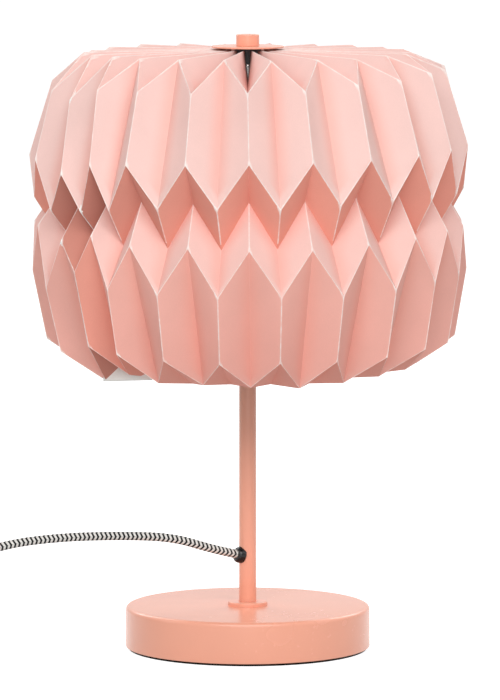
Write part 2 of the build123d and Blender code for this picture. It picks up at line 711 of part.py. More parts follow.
def switch_pieces():
    centre_x = switch_inlet[0] - switch_length / 2
    half = switch_length / 2
    end = switch_end_width / 2
    wide = switch_width / 2
    outline = Polyline((-half, -end), (-half + 11, -wide), (half - 11, -wide), (half, -end), (half, end),
                       (half - 11, wide), (-half + 11, wide), (-half, end), close=True)
    plan = make_face(outline)
    block = extrude(plan, switch_height)
    block = fillet(block.edges().filter_by(Axis.Z).filter_by(lambda e: abs(e.center().X) < half - 5), 8)
    block = fillet(block.edges().group_by(Axis.Z)[0] + block.edges().group_by(Axis.Z)[-1], 2.0)
    room = offset(plan, -switch_wall)
    block -= Pos(0, 0, switch_wall) * extrude(room, switch_height - 2 * switch_wall)
    for side in (-1, 1):
        mouth = Rot(0, 90, 0) * Cylinder(core_spacing, 8)
        block -= Pos(side * half, 0, switch_inlet[2]) * mouth
    window_length = rocker_length + 2.6
    window_width = rocker_width + 2 * touch_gap
    block -= Pos(0, 0, switch_height) * Box(window_length, window_width, 6)

    boss_spots = [(-15, 7.5), (15, -7.5)]
    split = switch_height / 2
    lid = block & Pos(0, 0, split + 20) * Box(100, 60, 40)
    tray = block & Pos(0, 0, split - 20) * Box(100, 60, 40)
    cheek_top = switch_height - switch_wall
    for side in (-1, 1):
        cheek = Pos(0, side * (window_width / 2 + 1.1), (cheek_top + rocker_pin_height - 2.4) / 2)
        lid += cheek * Box(6, 2.2, cheek_top - rocker_pin_height + 2.4)
    for x, y in boss_spots:
        lid += Pos(x, y, (split + cheek_top) / 2) * Cylinder(2.4, cheek_top - split)
        tray += Pos(x, y, (split + switch_wall) / 2) * Cylinder(2.4, split - switch_wall)
        lid -= Pos(x, y, split + 2.5) * Cylinder(switch_screw_diameter / 2 + fit_gap, 5 + fit_gap)
        tray -= Pos(x, y, split / 2) * Cylinder(switch_screw_diameter / 2 + fit_gap, split + 1)
        tray -= Pos(x, y, 0) * Cylinder(2.2, 2 * 1.4)
    pin_length = window_width + 2 * 1.6
    pin = Pos(0, 0, rocker_pin_height) * Rot(90, 0, 0) * Cylinder(rocker_pin_diameter / 2, pin_length)
    pin_room = Pos(0, 0, rocker_pin_height) * Rot(90, 0, 0) * Cylinder(
        rocker_pin_diameter / 2 + fit_gap, pin_length + 2 * touch_gap)
    lid -= pin_room

    reach = rocker_length / 2
    crown = switch_height + 1.6
    profile = Polyline((-reach, cheek_top - 0.6), (-reach, crown), (0, crown - 1.0), (reach, crown),
                       (reach, cheek_top - 0.6), (3, rocker_pin_height - 2), (1.2, rocker_pin_height - 4.5),
                       (-1.2, rocker_pin_height - 4.5), (-3, rocker_pin_height - 2), close=True)
    rocker = extrude(Plane.XZ * make_face(profile), rocker_width / 2, both=True)
    rocker = fillet(rocker.edges().filter_by(Axis.Y).group_by(Axis.Z)[-1], 0.8) + pin
    pivot = Pos(0, 0, rocker_pin_height)
    rocker = pivot * Rot(0, rocker_tilt, 0) * pivot.inverse() * rocker

    contacts = []
    for side in (-1, 1):
        post = Pos(side * 9, 0, switch_wall + 2) * Box(1.0, 4, 4)
        arm = Pos(side * 5.6, 0, switch_wall + 4.3) * Box(7.8, 4, 0.6)
        contacts.append(post + arm)

    screws = []
    for x, y in boss_spots:
        shaft = Pos(x, y, (split + 4.6) / 2 + 0.2) * Cylinder(switch_screw_diameter / 2, split + 4.2)
        head = Pos(x, y, 0.7) * Cylinder(2.1, 1.0)
        screws.append(shaft + head)

    place = Pos(centre_x, switch_inlet[1], 0)
    save("switch_lid", place * lid)
    save("switch_tray", place * tray)
    save("switch_rocker", place * rocker)
    save("switch_contacts", *[place * contact for contact in contacts])
    save("switch_screws", *[place * screw for screw in screws])
    print("rocker pivot", centre_x, 0, rocker_pin_height)


def plug_pieces():
    frame = Plane(origin=plug_tail, x_dir=(0, 0, 1), z_dir=plug_way)
    relief_low, relief_high = relief_diameters[1] / 2, relief_diameters[0] / 2
    relief = turned((0, 0), (relief_low, 0), (relief_high, relief_length), (0, relief_length))
    for groove in range(4):
        at = 4 + 4 * groove
        relief -= sleeve(20, relief_diameters[1] - 1, at, at + 1.4)
    wide = plug_width / 2
    depth = plug_depth
    outline = Polyline((0, -6), (6, -8.5), (depth - 8, -wide), (depth, -wide), (depth, wide),
                       (depth - 8, wide), (6, 8.5), (0, 6), close=True)
    body = extrude(Plane(origin=(0, 0, relief_length), x_dir=(0, 0, 1), z_dir=(1, 0, 0)) * make_face(outline),
                   plug_thickness / 2, both=True)
    body = fillet(body.edges().filter_by(Axis.X), 2.5)
    rims = body.edges().group_by(Axis.X)
    body = fillet(rims[0] + rims[-1], 1.8)
    save("plug_body", frame * (body + relief))
    face = relief_length + plug_depth
    pins, sleeves = [], []
    for side in (-1, 1):
        spot = Pos(0, side * plug_pin_spacing / 2, 0)
        pins.append(frame * spot * barrel(plug_pin_diameter, face + pin_sleeve_length, face + plug_pin_length))
        sleeves.append(frame * spot * barrel(pin_sleeve_diameter, face, face + pin_sleeve_length))
    save("plug_pins", *pins)
    save("plug_pin_sleeves", *sleeves)


base_pieces()
stem_pieces()
outlet_pieces()
core_wires()
holder_pieces()
bulb_pieces()
harp_pieces()
shade_pieces()
cord_pieces()
switch_pieces()
plug_pieces()
print("overall height", round(disc_top + knob_height, 1), "disc underside", round(disc_low, 1))
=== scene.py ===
import bpy
import bmesh
import math
import numpy as np
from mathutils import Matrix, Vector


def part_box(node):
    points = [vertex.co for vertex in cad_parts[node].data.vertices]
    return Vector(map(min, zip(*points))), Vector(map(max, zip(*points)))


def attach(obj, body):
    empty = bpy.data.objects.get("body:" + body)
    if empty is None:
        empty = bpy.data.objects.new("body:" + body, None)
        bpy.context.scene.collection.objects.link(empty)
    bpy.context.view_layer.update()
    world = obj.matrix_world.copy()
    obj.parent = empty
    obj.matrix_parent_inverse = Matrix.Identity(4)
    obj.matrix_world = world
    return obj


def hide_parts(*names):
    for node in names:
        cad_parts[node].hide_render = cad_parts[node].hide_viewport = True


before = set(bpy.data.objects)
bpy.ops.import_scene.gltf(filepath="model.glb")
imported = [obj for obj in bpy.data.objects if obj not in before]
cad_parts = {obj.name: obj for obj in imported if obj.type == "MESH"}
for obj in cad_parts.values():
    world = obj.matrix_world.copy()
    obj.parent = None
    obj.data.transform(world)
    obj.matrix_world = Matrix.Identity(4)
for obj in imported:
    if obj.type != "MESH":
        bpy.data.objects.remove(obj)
scene = bpy.context.scene


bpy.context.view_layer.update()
print("frame loaded")

# camera: 3.98 m in front of the stem and 0.63 m above the floor, tipped down 6 degrees
cameraSet = {"place": (0.0016, -3.98, 0.632), "tip": 6.0734, "lens": 296.7, "sensor": 36.0}


def makeCamera():
    data = bpy.data.cameras.new("camera")
    data.lens = cameraSet["lens"]
    data.sensor_width = cameraSet["sensor"]
    data.sensor_fit = "AUTO"
    data.clip_end = 30
    eye = bpy.data.objects.new("camera", data)
    eye.location = cameraSet["place"]
    eye.rotation_euler = (math.radians(90 - cameraSet["tip"]), 0, 0)
    scene.collection.objects.link(eye)
    scene.camera = eye


makeCamera()


def quads(rows, cols, wrapRows=False, wrapCols=False):
    # corner numbers of every cell of a grid of rows by cols points, with either way closed on itself
    r = np.arange(rows if wrapRows else rows - 1)
    c = np.arange(cols if wrapCols else cols - 1)
    r, c = np.meshgrid(r, c, indexing="ij")
    r2, c2 = (r + 1) % rows, (c + 1) % cols
    cells = np.stack([r * cols + c, r * cols + c2, r2 * cols + c2, r2 * cols + c], axis=-1)
    return cells.reshape(-1, 4)


mergeDistance = 1e-6  # metres


def gridPiece(name, points, closedRows=False, closedCols=False, uv=None, sharpAngle=None,
              attributes=None, faceAttributes=None, recalc=True):
    # a mesh from a grid of points: one vertex for each point, one face for each cell
    rows, cols = points.shape[:2]
    faces = quads(rows, cols, closedRows, closedCols)
    mesh = bpy.data.meshes.new(name)
    flat = points.reshape(-1, 3)
    mesh.vertices.add(len(flat))
    mesh.vertices.foreach_set("co", flat.astype(np.float32).ravel())
    mesh.loops.add(faces.size)
    mesh.loops.foreach_set("vertex_index", faces.ravel().astype(np.int32))
    mesh.polygons.add(len(faces))
    mesh.polygons.foreach_set("loop_start", np.arange(0, faces.size, 4, dtype=np.int32))
    mesh.update(calc_edges=True)
    for key, values in (attributes or {}).items():
        layer = mesh.attributes.new(key, "FLOAT", "POINT")
        layer.data.foreach_set("value", values.astype(np.float32).ravel())
    for key, values in (faceAttributes or {}).items():
        layer = mesh.attributes.new(key, "FLOAT", "FACE")
        layer.data.foreach_set("value", values.astype(np.float32).ravel())
    if uv is not None:
        # the uv grid of a closed grid is one column wider, so that the pattern doesn't run back at the seam
        wide = uv.shape[1]
        r = faces[:, 0] // cols
        c = faces[:, 0] % cols
        r2 = np.minimum(r + 1, uv.shape[0] - 1)
        c2 = np.minimum(c + 1, wide - 1)
        flatUv = np.stack([uv[r, c], uv[r, c2], uv[r2, c2], uv[r2, c]], axis=1)
        layer = mesh.uv_layers.new(name="UVMap")
        layer.data.foreach_set("uv", flatUv.astype(np.float32).ravel())
    work = bmesh.new()
    work.from_mesh(mesh)
    bmesh.ops.remove_doubles(work, verts=work.verts, dist=mergeDistance)
    bmesh.ops.dissolve_degenerate(work, edges=work.edges, dist=mergeDistance)
    if recalc:
        bmesh.ops.recalc_face_normals(work, faces=work.faces)
    for face in work.faces:
        face.smooth = True
    if sharpAngle is not None:
        limit = math.radians(sharpAngle)
        for edge in work.edges:
            edge.smooth = not (edge.is_manifold and edge.calc_face_angle(0) > limit)
    work.to_mesh(mesh)
    work.free()
    piece = bpy.data.objects.new(name, mesh)
    scene.collection.objects.link(piece)
    return piece


def dress(piece, body, finishes, replaced=()):
    # gives a piece its body, its material slot, its finishes and the solids that it stands for
    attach(piece, body)
    piece.data.materials.clear()
    for finish in finishes:
        piece.data.materials.append(finish)
    if replaced:
        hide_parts(*replaced)
    return piece


def roundedProfile(corners, steps=5):
    # a profile of radius and height in which each corner with a rounding becomes an arc-like curve:
    # the quadratic blend (1-t)^2 a + 2t(1-t) corner + t^2 b between points at the rounding's distance
    out = []
    for k, corner in enumerate(corners):
        p = np.array(corner[:2], float)
        ease = corner[2] if len(corner) > 2 else 0
        if not ease:
            out.append(p)
            continue
        before = np.array(corners[k - 1][:2], float)
        after = np.array(corners[(k + 1) % len(corners)][:2], float)
        a = p + (before - p) * min(ease / np.linalg.norm(before - p), 0.49)
        b = p + (after - p) * min(ease / np.linalg.norm(after - p), 0.49)
        for t in np.linspace(0, 1, steps + 1):
            out.append((1 - t) ** 2 * a + 2 * t * (1 - t) * p + t ** 2 * b)
    return np.array(out)


def turnedPiece(name, corners, segments=96, steps=5, closed=True, centre=(0, 0, 0), axis=None,
                sharpAngle=35):
    # surface of revolution: the profile (radius, height) turned about an axis; millimetres in, metres out
    profile = roundedProfile(corners, steps)
    angle = np.linspace(0, 2 * math.pi, segments, endpoint=False)
    r, z = profile[:, 0][:, None], profile[:, 1][:, None]
    x, y = r * np.cos(angle), r * np.sin(angle)
    points = np.stack([x, y, z + 0 * x], axis=-1)
    along = np.concatenate([[0], np.cumsum(np.linalg.norm(np.diff(profile, axis=0), axis=1))])
    around = np.linspace(0, 1, segments + 1)[None, :]
    uv = np.stack(np.broadcast_arrays(around, along[:, None] * 0.001), axis=-1)
    if axis is not None:
        z1 = np.array(axis, float) / np.linalg.norm(axis)
        x1 = np.cross(z1, (0, 0, 1) if abs(z1[2]) < 0.9 else (0, 1, 0))
        x1 /= np.linalg.norm(x1)
        y1 = np.cross(z1, x1)
        points = points[..., :1] * x1 + points[..., 1:2] * y1 + points[..., 2:] * z1
    points = (points + np.array(centre)) * 0.001
    if closed:
        uv = np.concatenate([uv, uv[:1]], axis=0)
    return gridPiece(name, points, closedRows=closed, closedCols=True, uv=uv, sharpAngle=sharpAngle)


def splineLine(points, perSpan=16):
    # the smooth line of a NURBS spline of order 3 with these control points, in metres
    data = bpy.data.curves.new("line", "CURVE")
    data.dimensions = "3D"
    spline = data.splines.new("NURBS")
    spline.points.add(len(points) - 1)
    for spot, place in zip(spline.points, points):
        spot.co = (*place, 1)
    spline.order_u = 3
    spline.use_endpoint_u = True
    spline.resolution_u = perSpan
    holder = bpy.data.objects.new("line", data)
    scene.collection.objects.link(holder)
    bpy.context.view_layer.update()
    mesh = bpy.data.meshes.new_from_object(holder.evaluated_get(bpy.context.evaluated_depsgraph_get()))
    line = np.empty(len(mesh.vertices) * 3)
    mesh.vertices.foreach_get("co", line)
    bpy.data.objects.remove(holder)
    bpy.data.curves.remove(data)
    bpy.data.meshes.remove(mesh)
    return line.reshape(-1, 3)


def evenly(line, step):
    # the same line with points a steady step apart
    far = np.concatenate([[0], np.cumsum(np.linalg.norm(np.diff(line, axis=0), axis=1))])
    spots = np.linspace(0, far[-1], max(2, int(round(far[-1] / step)) + 1))
    return np.stack([np.interp(spots, far, line[:, k]) for k in range(3)], axis=-1), spots


capCircles = 3


def tubePiece(name, line, radius, segments, step=0.001):
    # tube: at each point of the line, a circle square to it, closed at both ends by smaller circles
    spots, far = evenly(line, step)
    way = np.gradient(spots, axis=0)
    way /= np.linalg.norm(way, axis=1)[:, None]
    side = np.cross(way, (0, 0, 1))
    side /= np.linalg.norm(side, axis=1)[:, None]
    up = np.cross(side, way)
    capWide = radius * np.cos(np.linspace(0, math.pi / 2, capCircles + 1)[1:])
    wide = np.concatenate([capWide[::-1], np.full(len(spots), radius), capWide])
    centre, side, up, far = (
        np.concatenate([np.repeat(k[:1], capCircles, 0), k, np.repeat(k[-1:], capCircles, 0)])
        for k in (spots, side, up, far))
    angle = np.linspace(0, 2 * math.pi, segments, endpoint=False)
    ring = side[:, None] * np.cos(angle)[None, :, None] + up[:, None] * np.sin(angle)[None, :, None]
    points = centre[:, None] + ring * wide[:, None, None]
    uv = np.stack(np.broadcast_arrays(np.linspace(0, 1, segments + 1)[None, :], far[:, None]), axis=-1)
    piece = gridPiece(name, points, closedCols=True, uv=uv, sharpAngle=50)
    return piece, spots


def metres(points):
    return [tuple(0.001 * v for v in p) for p in points]


# the outlet turns from -X towards the front and rises from level, in degrees; the rest is in millimetres
outletSet = {"height": 64.0, "turn": 28.0, "rise": 14.0, "face": 9.6, "inset": 0.5, "straight": 28,
             "hole": 3.05, "back": 4.3, "bush": 5.7, "rim": 4.9, "lip": 3.9}
outletTurn, outletRise = math.radians(outletSet["turn"]), math.radians(outletSet["rise"])
outletWay = np.array([-math.cos(outletTurn) * math.cos(outletRise),
                      -math.sin(outletTurn) * math.cos(outletRise), math.sin(outletRise)])
outletMid = np.array([0, 0, outletSet["height"]])

cordSet = {"diameter": 6.0, "step": 0.0008, "segments": 24}
mainsPoints = metres([
    outletMid + outletWay * outletSet["face"],
    outletMid + outletWay * outletSet["straight"],
    (-52, -18, 80.0),
    (-88, -16.5, 80.9),
    (-130, -14, 79.4),
    (-170, -11, 73.8),
    (-206, -9, 60),
    (-232, -7, 40),
    (-254, -4, 20),
    (-277, 0, 9.5),
    (-300, 0, 9.5),
])
# "climb" and "settle" are parts of a turn, "underStrap" is in radians; the lengths are in millimetres
coilSet = {"x": -415.0, "meanRadius": 36.0, "pitch": 6.6, "turns": 5.5, "perTurn": 16, "low": 4.2,
           "step": 6.5, "floor": 3.05, "climb": 0.5, "settle": 0.25, "underStrap": 0.55}


def coilPoints():
    # control points of the coil: the radius falls and grows again at a steady rate, the height
    # climbs one layer in the half turn where the radius turns back, and the lower layer rests on
    # the floor except where the strap passes under it
    c = coilSet
    turn = np.arange(0, c["turns"] + 1e-9, 1 / c["perTurn"])
    inner = c["meanRadius"] - c["pitch"] * c["turns"] / 4
    outer = inner + c["pitch"] * c["turns"] / 2
    angle = 2 * math.pi * turn + math.pi / 2
    radius = inner + c["pitch"] * np.abs(turn - c["turns"] / 2)
    reach = radius * (1 + (math.pi / c["perTurn"]) ** 2 / 4)
    climb = np.clip((turn - c["turns"] / 2) / c["climb"] + 0.5, 0, 1)
    lift = (1 - np.cos(math.pi * climb)) / 2
    away = np.abs(angle % (2 * math.pi) - math.pi)  # from the strap, in radians
    drop = (c["low"] - c["floor"]) * (1 - np.exp(-(away / c["underStrap"]) ** 4))
    drop = drop * np.clip(turn / c["settle"], 0, 1)
    height = c["low"] + c["step"] * lift - drop
    x = c["x"] + reach * np.cos(angle)
    y = -outer + reach * np.sin(angle)
    return [tuple(p) for p in np.stack([x, y, height], axis=-1)], outer


coilTurns, coilOuter = coilPoints()
plugSet = {"turn": -15.0, "tail": (-345.0, -100.0, 6.85), "depth": 36.0, "relief": 22.0, "pin": 4.0,
           "pinLength": 19.0, "spacing": 18.6, "sleeve": 10.0,
           "grooves": {"end": 21, "depth": 0.75, "pitch": 4.0},
           # distance along, half width, half height, and power of the superellipse
           "stations": [(0, 3.9, 3.9, 2), (1, 4.2, 4.2, 2), (22, 5.6, 5.4, 2), (24, 8.0, 6.0, 2.4),
                        (30, 10.0, 6.5, 3), (38, 14.5, 6.83, 3.4), (47, 17.2, 6.83, 3.6),
                        (53, 17.5, 6.83, 3.6), (56.5, 17.2, 6.6, 3.4), (57.6, 16.4, 6.0, 3.2),
                        (58, 15.0, 4.8, 3)]}
plugTurn = math.radians(plugSet["turn"])
plugWay = np.array([math.cos(plugTurn), math.sin(plugTurn), 0])
plugTail = np.array(plugSet["tail"])
coilHigh = coilTurns[-1][2]
tailPoints = metres(
    [(-362, 0, 9.5), (-376, 0, 9.5), (-393, 0, 4.2), (-409, 0, 4.2)] + coilTurns + [
        (coilSet["x"] + 6, -2 * coilOuter, coilHigh), (coilSet["x"] + 21, -2 * coilOuter, coilHigh),
        (-376, -2 * coilOuter - 2.4, 8.4), tuple(plugTail - plugWay * 16), tuple(plugTail)])


def makeCords():
    radius = cordSet["diameter"] / 2000
    mains, mainsPath = tubePiece("mainsCord", splineLine(mainsPoints), radius, cordSet["segments"],
                                 step=cordSet["step"])
    tail, tailPath = tubePiece("coiledCord", splineLine(tailPoints, 8), radius, cordSet["segments"],
                               step=cordSet["step"])
    return mains, mainsPath, tail, tailPath


def pathLength(path):
    return float(np.linalg.norm(np.diff(path, axis=0), axis=1).sum())


mainsCord, mainsPath, coiledCord, tailPath = makeCords()
print("cords", round(pathLength(mainsPath), 4), round(pathLength(tailPath), 4))


class Wire:
    # one socket; arithmetic on it adds Math nodes
    def __init__(self, finish, socket):
        self.finish, self.socket = finish, socket

    def maths(self, operation, *values):
        return self.finish.node("ShaderNodeMath", {"operation": operation}, dict(enumerate(values)))

    def __add__(self, other):
        return self.maths("ADD", self, other)

    def __sub__(self, other):
        return self.maths("SUBTRACT", self, other)

    def __rsub__(self, other):
        return self.maths("SUBTRACT", other, self)

    def __mul__(self, other):
        return self.maths("MULTIPLY", self, other)

    def __truediv__(self, other):
        return self.maths("DIVIDE", self, other)

    def __pow__(self, other):
        return self.maths("POWER", self, other)

    __radd__ = __add__
    __rmul__ = __mul__

    def wave(self):
        return self.maths("SINE", self)

    def size(self):
        return self.maths("ABSOLUTE", self)

    def part(self):
        return self.maths("FRACT", self)

    def zigzag(self):
        return self.maths("PINGPONG", self, 1.0)

    def lower(self, other):
        return self.maths("MINIMUM", self, other)

    def step(self, low, high, fromValue=0.0, toValue=1.0):
        # smooth change from one value to another between low and high
        return self.finish.node("ShaderNodeMapRange", {"interpolation_type": "SMOOTHSTEP"},
                                {"Value": self, "From Min": low, "From Max": high, "To Min": fromValue,
                                 "To Max": toValue})


class Finish:
    # one material: a Principled surface and the nodes that feed it
    def __init__(self, name):
        self.material = bpy.data.materials.new(name)
        self.material.use_nodes = True
        self.tree = self.material.node_tree
        self.tree.nodes.clear()
        self.output = self.tree.nodes.new("ShaderNodeOutputMaterial")
        self.shader = self.tree.nodes.new("ShaderNodeBsdfPrincipled")
        self.tree.links.new(self.shader.outputs[0], self.output.inputs["Surface"])

    def feed(self, node, sockets):
        for key, value in sockets.items():
            socket = node.inputs[key]
            if isinstance(value, Wire):
                self.tree.links.new(value.socket, socket)
            elif hasattr(value, "__len__") and len(value) == 3 and socket.type == "RGBA":
                socket.default_value = (*value, 1)
            else:
                socket.default_value = value

    def node(self, kind, settings=None, sockets=None, out=0):
        made = self.tree.nodes.new(kind)
        for key, value in (settings or {}).items():
            setattr(made, key, value)
        self.feed(made, sockets or {})
        return Wire(self, made.outputs[out])

    def set(self, **sockets):
        self.feed(self.shader, {key.replace("_", " "): value for key, value in sockets.items()})

    def place(self):
        # Object coordinates
        return self.node("ShaderNodeTexCoord", out=3)

    def uv(self):
        both = self.node("ShaderNodeTexCoord", out=2)
        return [self.node("ShaderNodeSeparateXYZ", None, {0: both}, out=k) for k in (0, 1)]

    def stretched(self, scale):
        return self.node("ShaderNodeMapping", None, {"Vector": self.place(), "Scale": scale})

    def noise(self, scale, detail=3.0, rough=0.5, at=None):
        return self.node("ShaderNodeTexNoise", None,
                         {"Vector": at or self.place(), "Scale": scale, "Detail": detail, "Roughness": rough})

    def blend(self, share, first, second, mode="MIX"):
        return self.node("ShaderNodeMix", {"data_type": "RGBA", "blend_type": mode},
                         {0: share, 6: first, 7: second}, out=2)

    def bump(self, height, depth, strength):
        return self.node("ShaderNodeBump", None, {"Height": height, "Distance": depth, "Strength": strength})

    def times(self, tone, amount):
        # a colour times a number
        grey = self.node("ShaderNodeCombineColor", None, {0: amount, 1: amount, 2: amount})
        return self.blend(1.0, tone, grey, "MULTIPLY")

    def attribute(self, name):
        return self.node("ShaderNodeAttribute", {"attribute_name": name, "attribute_type": "GEOMETRY"}, out=2)


def shade(colour, factor):
    return tuple(min(1.0, c * factor) for c in colour)


paintSet = {"colour": (0.90, 0.400, 0.275), "dust": (0.93, 0.78, 0.72), "dusty": 0.012, "roughness": 0.26,
            "grain": 1400, "depth": 0.00006}
# the first two are painted lit and painted shaded copies of the printed pink; the last five are shares of a
# blend, apart from the valley reach, in millimetres from the fold; the valley share and the pocket share set
# painted shade
paperSet = {"paintedLight": (0.885, 0.605, 0.556), "paintedShadeAndMottle": (0.85, 0.350, 0.272), "worn": (0.97, 0.875, 0.83),
            "inside": (0.96, 0.94, 0.90), "edge": (0.93, 0.88, 0.85), "roughness": 0.78, "ridgeWear": 0.95,
            "valleyWear": 0.15, "valleyPaintedShade": 0.36, "valleyShadeReach": 12.0, "paintedPocketShade": 0.34}
braidSet = {"light": (0.90, 0.885, 0.84), "dark": (0.018, 0.018, 0.020), "period": 0.00305, "columns": 6,
            "yarns": 4}


def paintFinish(name):
    # powder paint: fine orange peel in the bump, slow clouds and faint dust in colour and roughness
    f = Finish(name)
    colour = paintSet["colour"]
    speck = f.noise(paintSet["grain"], 2)
    cloud = f.noise(9, 3)
    dust = f.noise(260, 4, 0.7).step(0.60, 0.78)
    tone = f.blend(cloud.step(0.3, 0.7), shade(colour, 0.965), shade(colour, 1.03))
    tone = f.blend(dust * paintSet["dusty"], tone, paintSet["dust"])
    f.set(Base_Color=tone, Roughness=paintSet["roughness"] + 0.10 * (cloud - 0.5) + 0.02 * dust,
          Normal=f.bump(speck + 0.5 * f.noise(300, 1), paintSet["depth"], 0.55))
    return f.material


def paperFinish(name, colour, paintedShadeAndMottle, creased=True):
    # printed paper: its colour runs from a painted lit tone, where the face attribute is 1, to a painted
    # shaded tone, where it is 0, and below 0 it is darker still as painted shade in the pockets; painted
    # shade also lies along the folds that go in, and the print is worn off along the folds that stand out
    f = Finish(name)
    fibre = f.noise(1500, 4, 0.65, at=f.stretched((1, 1, 0.45)))
    cloud = f.noise(28, 4, 0.55)
    rough = paperSet["roughness"] + 0.12 * (fibre - 0.5)
    height = 0.4 * fibre + 0.6 * f.noise(420, 3)
    tone = f.blend(f.attribute("paintedLight"), paintedShadeAndMottle, colour) if creased else f.blend(cloud, paintedShadeAndMottle, colour)
    tone = f.times(tone, 0.965 + 0.045 * cloud.step(0.25, 0.75) + 0.03 * fibre.step(0.35, 0.75))
    if creased:
        ridge, valley = f.attribute("ridgeFold"), f.attribute("valleyFold")
        wander = 0.35 * f.noise(330, 3)
        onRidge = (ridge + wander).step(0.20, 0.78, 1.0, 0.0)
        onValley = (valley + wander).step(0.15, 0.60, 1.0, 0.0)
        breaks = 0.50 + 0.50 * f.noise(120, 4, 0.7).step(0.35, 0.6)
        # painted shade: the colour runs towards the painted shaded tone within reach of the folds that go in
        valleyShadeMask = (valley / paperSet["valleyShadeReach"]).step(0.0, 1.0, 1.0, 0.0)
        tone = f.blend(valleyShadeMask * paperSet["valleyPaintedShade"], tone, paintedShadeAndMottle)
        # painted shade: the pocket panels behind the seam are darkened further
        tone = f.times(tone, 1.0 + f.attribute("paintedLight").lower(0.0) * paperSet["paintedPocketShade"])
        tone = f.blend(onRidge * breaks * paperSet["ridgeWear"], tone, paperSet["worn"])
        tone = f.blend(onValley * breaks * paperSet["valleyWear"], tone, paperSet["worn"])
        torn = f.attribute("nick") + 0.5 * (f.noise(700, 3) - 0.5)
        tone = f.blend(torn.step(0.42, 0.62), tone, paperSet["inside"])
        height = height + 0.5 * onRidge
        rough = rough + 0.08 * onRidge
    f.set(Base_Color=tone, Roughness=rough, Normal=f.bump(height, 0.00007, 0.5))
    f.set(Specular_IOR_Level=0.25)
    return f.material


def braidFinish(name):
    # herringbone braid: bands along the cord whose edges zigzag with the angle round it, split into yarns
    f = Finish(name)
    around, along = f.uv()
    columns = braidSet["columns"]
    slant = (around * columns).zigzag()
    line = along / braidSet["period"] + 0.5 * slant
    fuzz = f.noise(2600, 3, 0.7)
    edge = 0.05 * (fuzz - 0.5)
    dark = ((line + edge).part() - 0.5).size().step(0.245, 0.295)
    yarn = (line * (math.pi * braidSet["yarns"])).wave().size()
    dive = (around * (math.pi * columns)).wave().size().step(0.0, 0.45)
    light = f.blend(fuzz, shade(braidSet["light"], 0.80), shade(braidSet["light"], 1.12))
    black = f.blend(fuzz, shade(braidSet["dark"], 0.5), shade(braidSet["dark"], 1.6))
    # painted shade: the braid is darkened between the yarns and where the strands dive under
    paintedYarnShade = (yarn.step(0.0, 0.35) * 0.35 + 0.65) * (dive * 0.25 + 0.75)
    tone = f.blend(dark, light, black)
    tone = f.times(tone, paintedYarnShade)
    height = yarn ** 0.6 * 0.7 + dive * 0.5 + fuzz * 0.25
    f.set(Base_Color=tone, Roughness=0.82 + 0.1 * (fuzz - 0.5), Normal=f.bump(height, 0.00022, 0.9))
    f.set(Sheen_Weight=0.06, Sheen_Roughness=0.5, Specular_IOR_Level=0.2)
    return f.material


strapSet = {"colour": (0.03, 0.03, 0.032), "threads": 5200}


def strapFinish(name, colour):
    # woven tape: products of sine waves along the three axes
    f = Finish(name)
    a, b, c = ((f.node("ShaderNodeSeparateXYZ", None, {0: f.place()}, out=way) * strapSet["threads"]).wave()
               for way in (1, 2, 0))
    fuzz = f.noise(2200, 3, 0.7)
    weave = (a * b + b * c + c * a) * 0.33 + 0.5
    # painted light and shade: the tape is lighter where its weave stands high and darker where it lies low,
    # with random fuzz
    tone = f.blend(weave * 0.6 + fuzz * 0.4, shade(colour, 0.5), shade(colour, 1.9))
    f.set(Base_Color=tone, Roughness=0.9 + 0.08 * (fuzz - 0.5), Normal=f.bump(weave + fuzz, 0.00015, 0.8))
    return f.material


# grain is noise per metre and depth its bump in metres; mottle is how far the colour varies
hardSets = {
    "zincSteel": {"colour": (0.60, 0.60, 0.59), "metal": 1.0, "roughness": 0.34, "scale": (1, 1, 14),
                  "grain": 700, "depth": 0.00002, "mottle": 0.16},
    "brightSteel": {"colour": (0.80, 0.80, 0.79), "metal": 1.0, "roughness": 0.14, "scale": (1, 1, 6),
                    "grain": 500, "depth": 0.00001, "mottle": 0.05},
    "brassPlain": {"colour": (0.76, 0.56, 0.25), "metal": 1.0, "roughness": 0.28, "scale": (1, 1, 8),
                   "grain": 600, "depth": 0.00002, "mottle": 0.18},
    "capAluminium": {"colour": (0.76, 0.76, 0.75), "metal": 1.0, "roughness": 0.26, "scale": (1, 1, 10),
                     "grain": 800, "depth": 0.00002, "mottle": 0.10},
    "pinNickel": {"colour": (0.78, 0.76, 0.72), "metal": 1.0, "roughness": 0.18, "scale": (4, 1, 1),
                  "grain": 600, "depth": 0.00001, "mottle": 0.08},
    "castIron": {"colour": (0.16, 0.16, 0.17), "metal": 0.55, "roughness": 0.72, "grain": 260,
                 "depth": 0.00030, "mottle": 0.30},
    "blackPaint": {"colour": (0.022, 0.022, 0.024), "roughness": 0.42, "grain": 1300, "depth": 0.00005,
                   "mottle": 0.25},
    "blackPlastic": {"colour": (0.020, 0.020, 0.022), "roughness": 0.40, "grain": 1700, "depth": 0.00004,
                     "mottle": 0.20},
    "glossBlack": {"colour": (0.010, 0.010, 0.011), "shine": 0.35, "roughness": 0.16, "grain": 900,
                   "depth": 0.00001, "mottle": 0.20},
    "whiteCeramic": {"colour": (0.86, 0.85, 0.80), "roughness": 0.18, "grain": 300, "depth": 0.00005,
                     "mottle": 0.05},
    "blackGlass": {"colour": (0.02, 0.02, 0.03), "roughness": 0.08, "grain": 300, "depth": 0.00002,
                   "mottle": 0.10},
    "blackFoam": {"colour": (0.016, 0.012, 0.009), "shine": 0.05, "roughness": 0.92, "grain": 1500,
                  "depth": 0.00020, "mottle": 0.35},
    "wireBrown": {"colour": (0.22, 0.10, 0.05), "roughness": 0.38, "grain": 900, "depth": 0.00002,
                  "mottle": 0.15},
    "phosphor": {"colour": (0.86, 0.56, 0.10), "roughness": 0.55, "grain": 1500, "depth": 0.00006,
                 "mottle": 0.15},
}


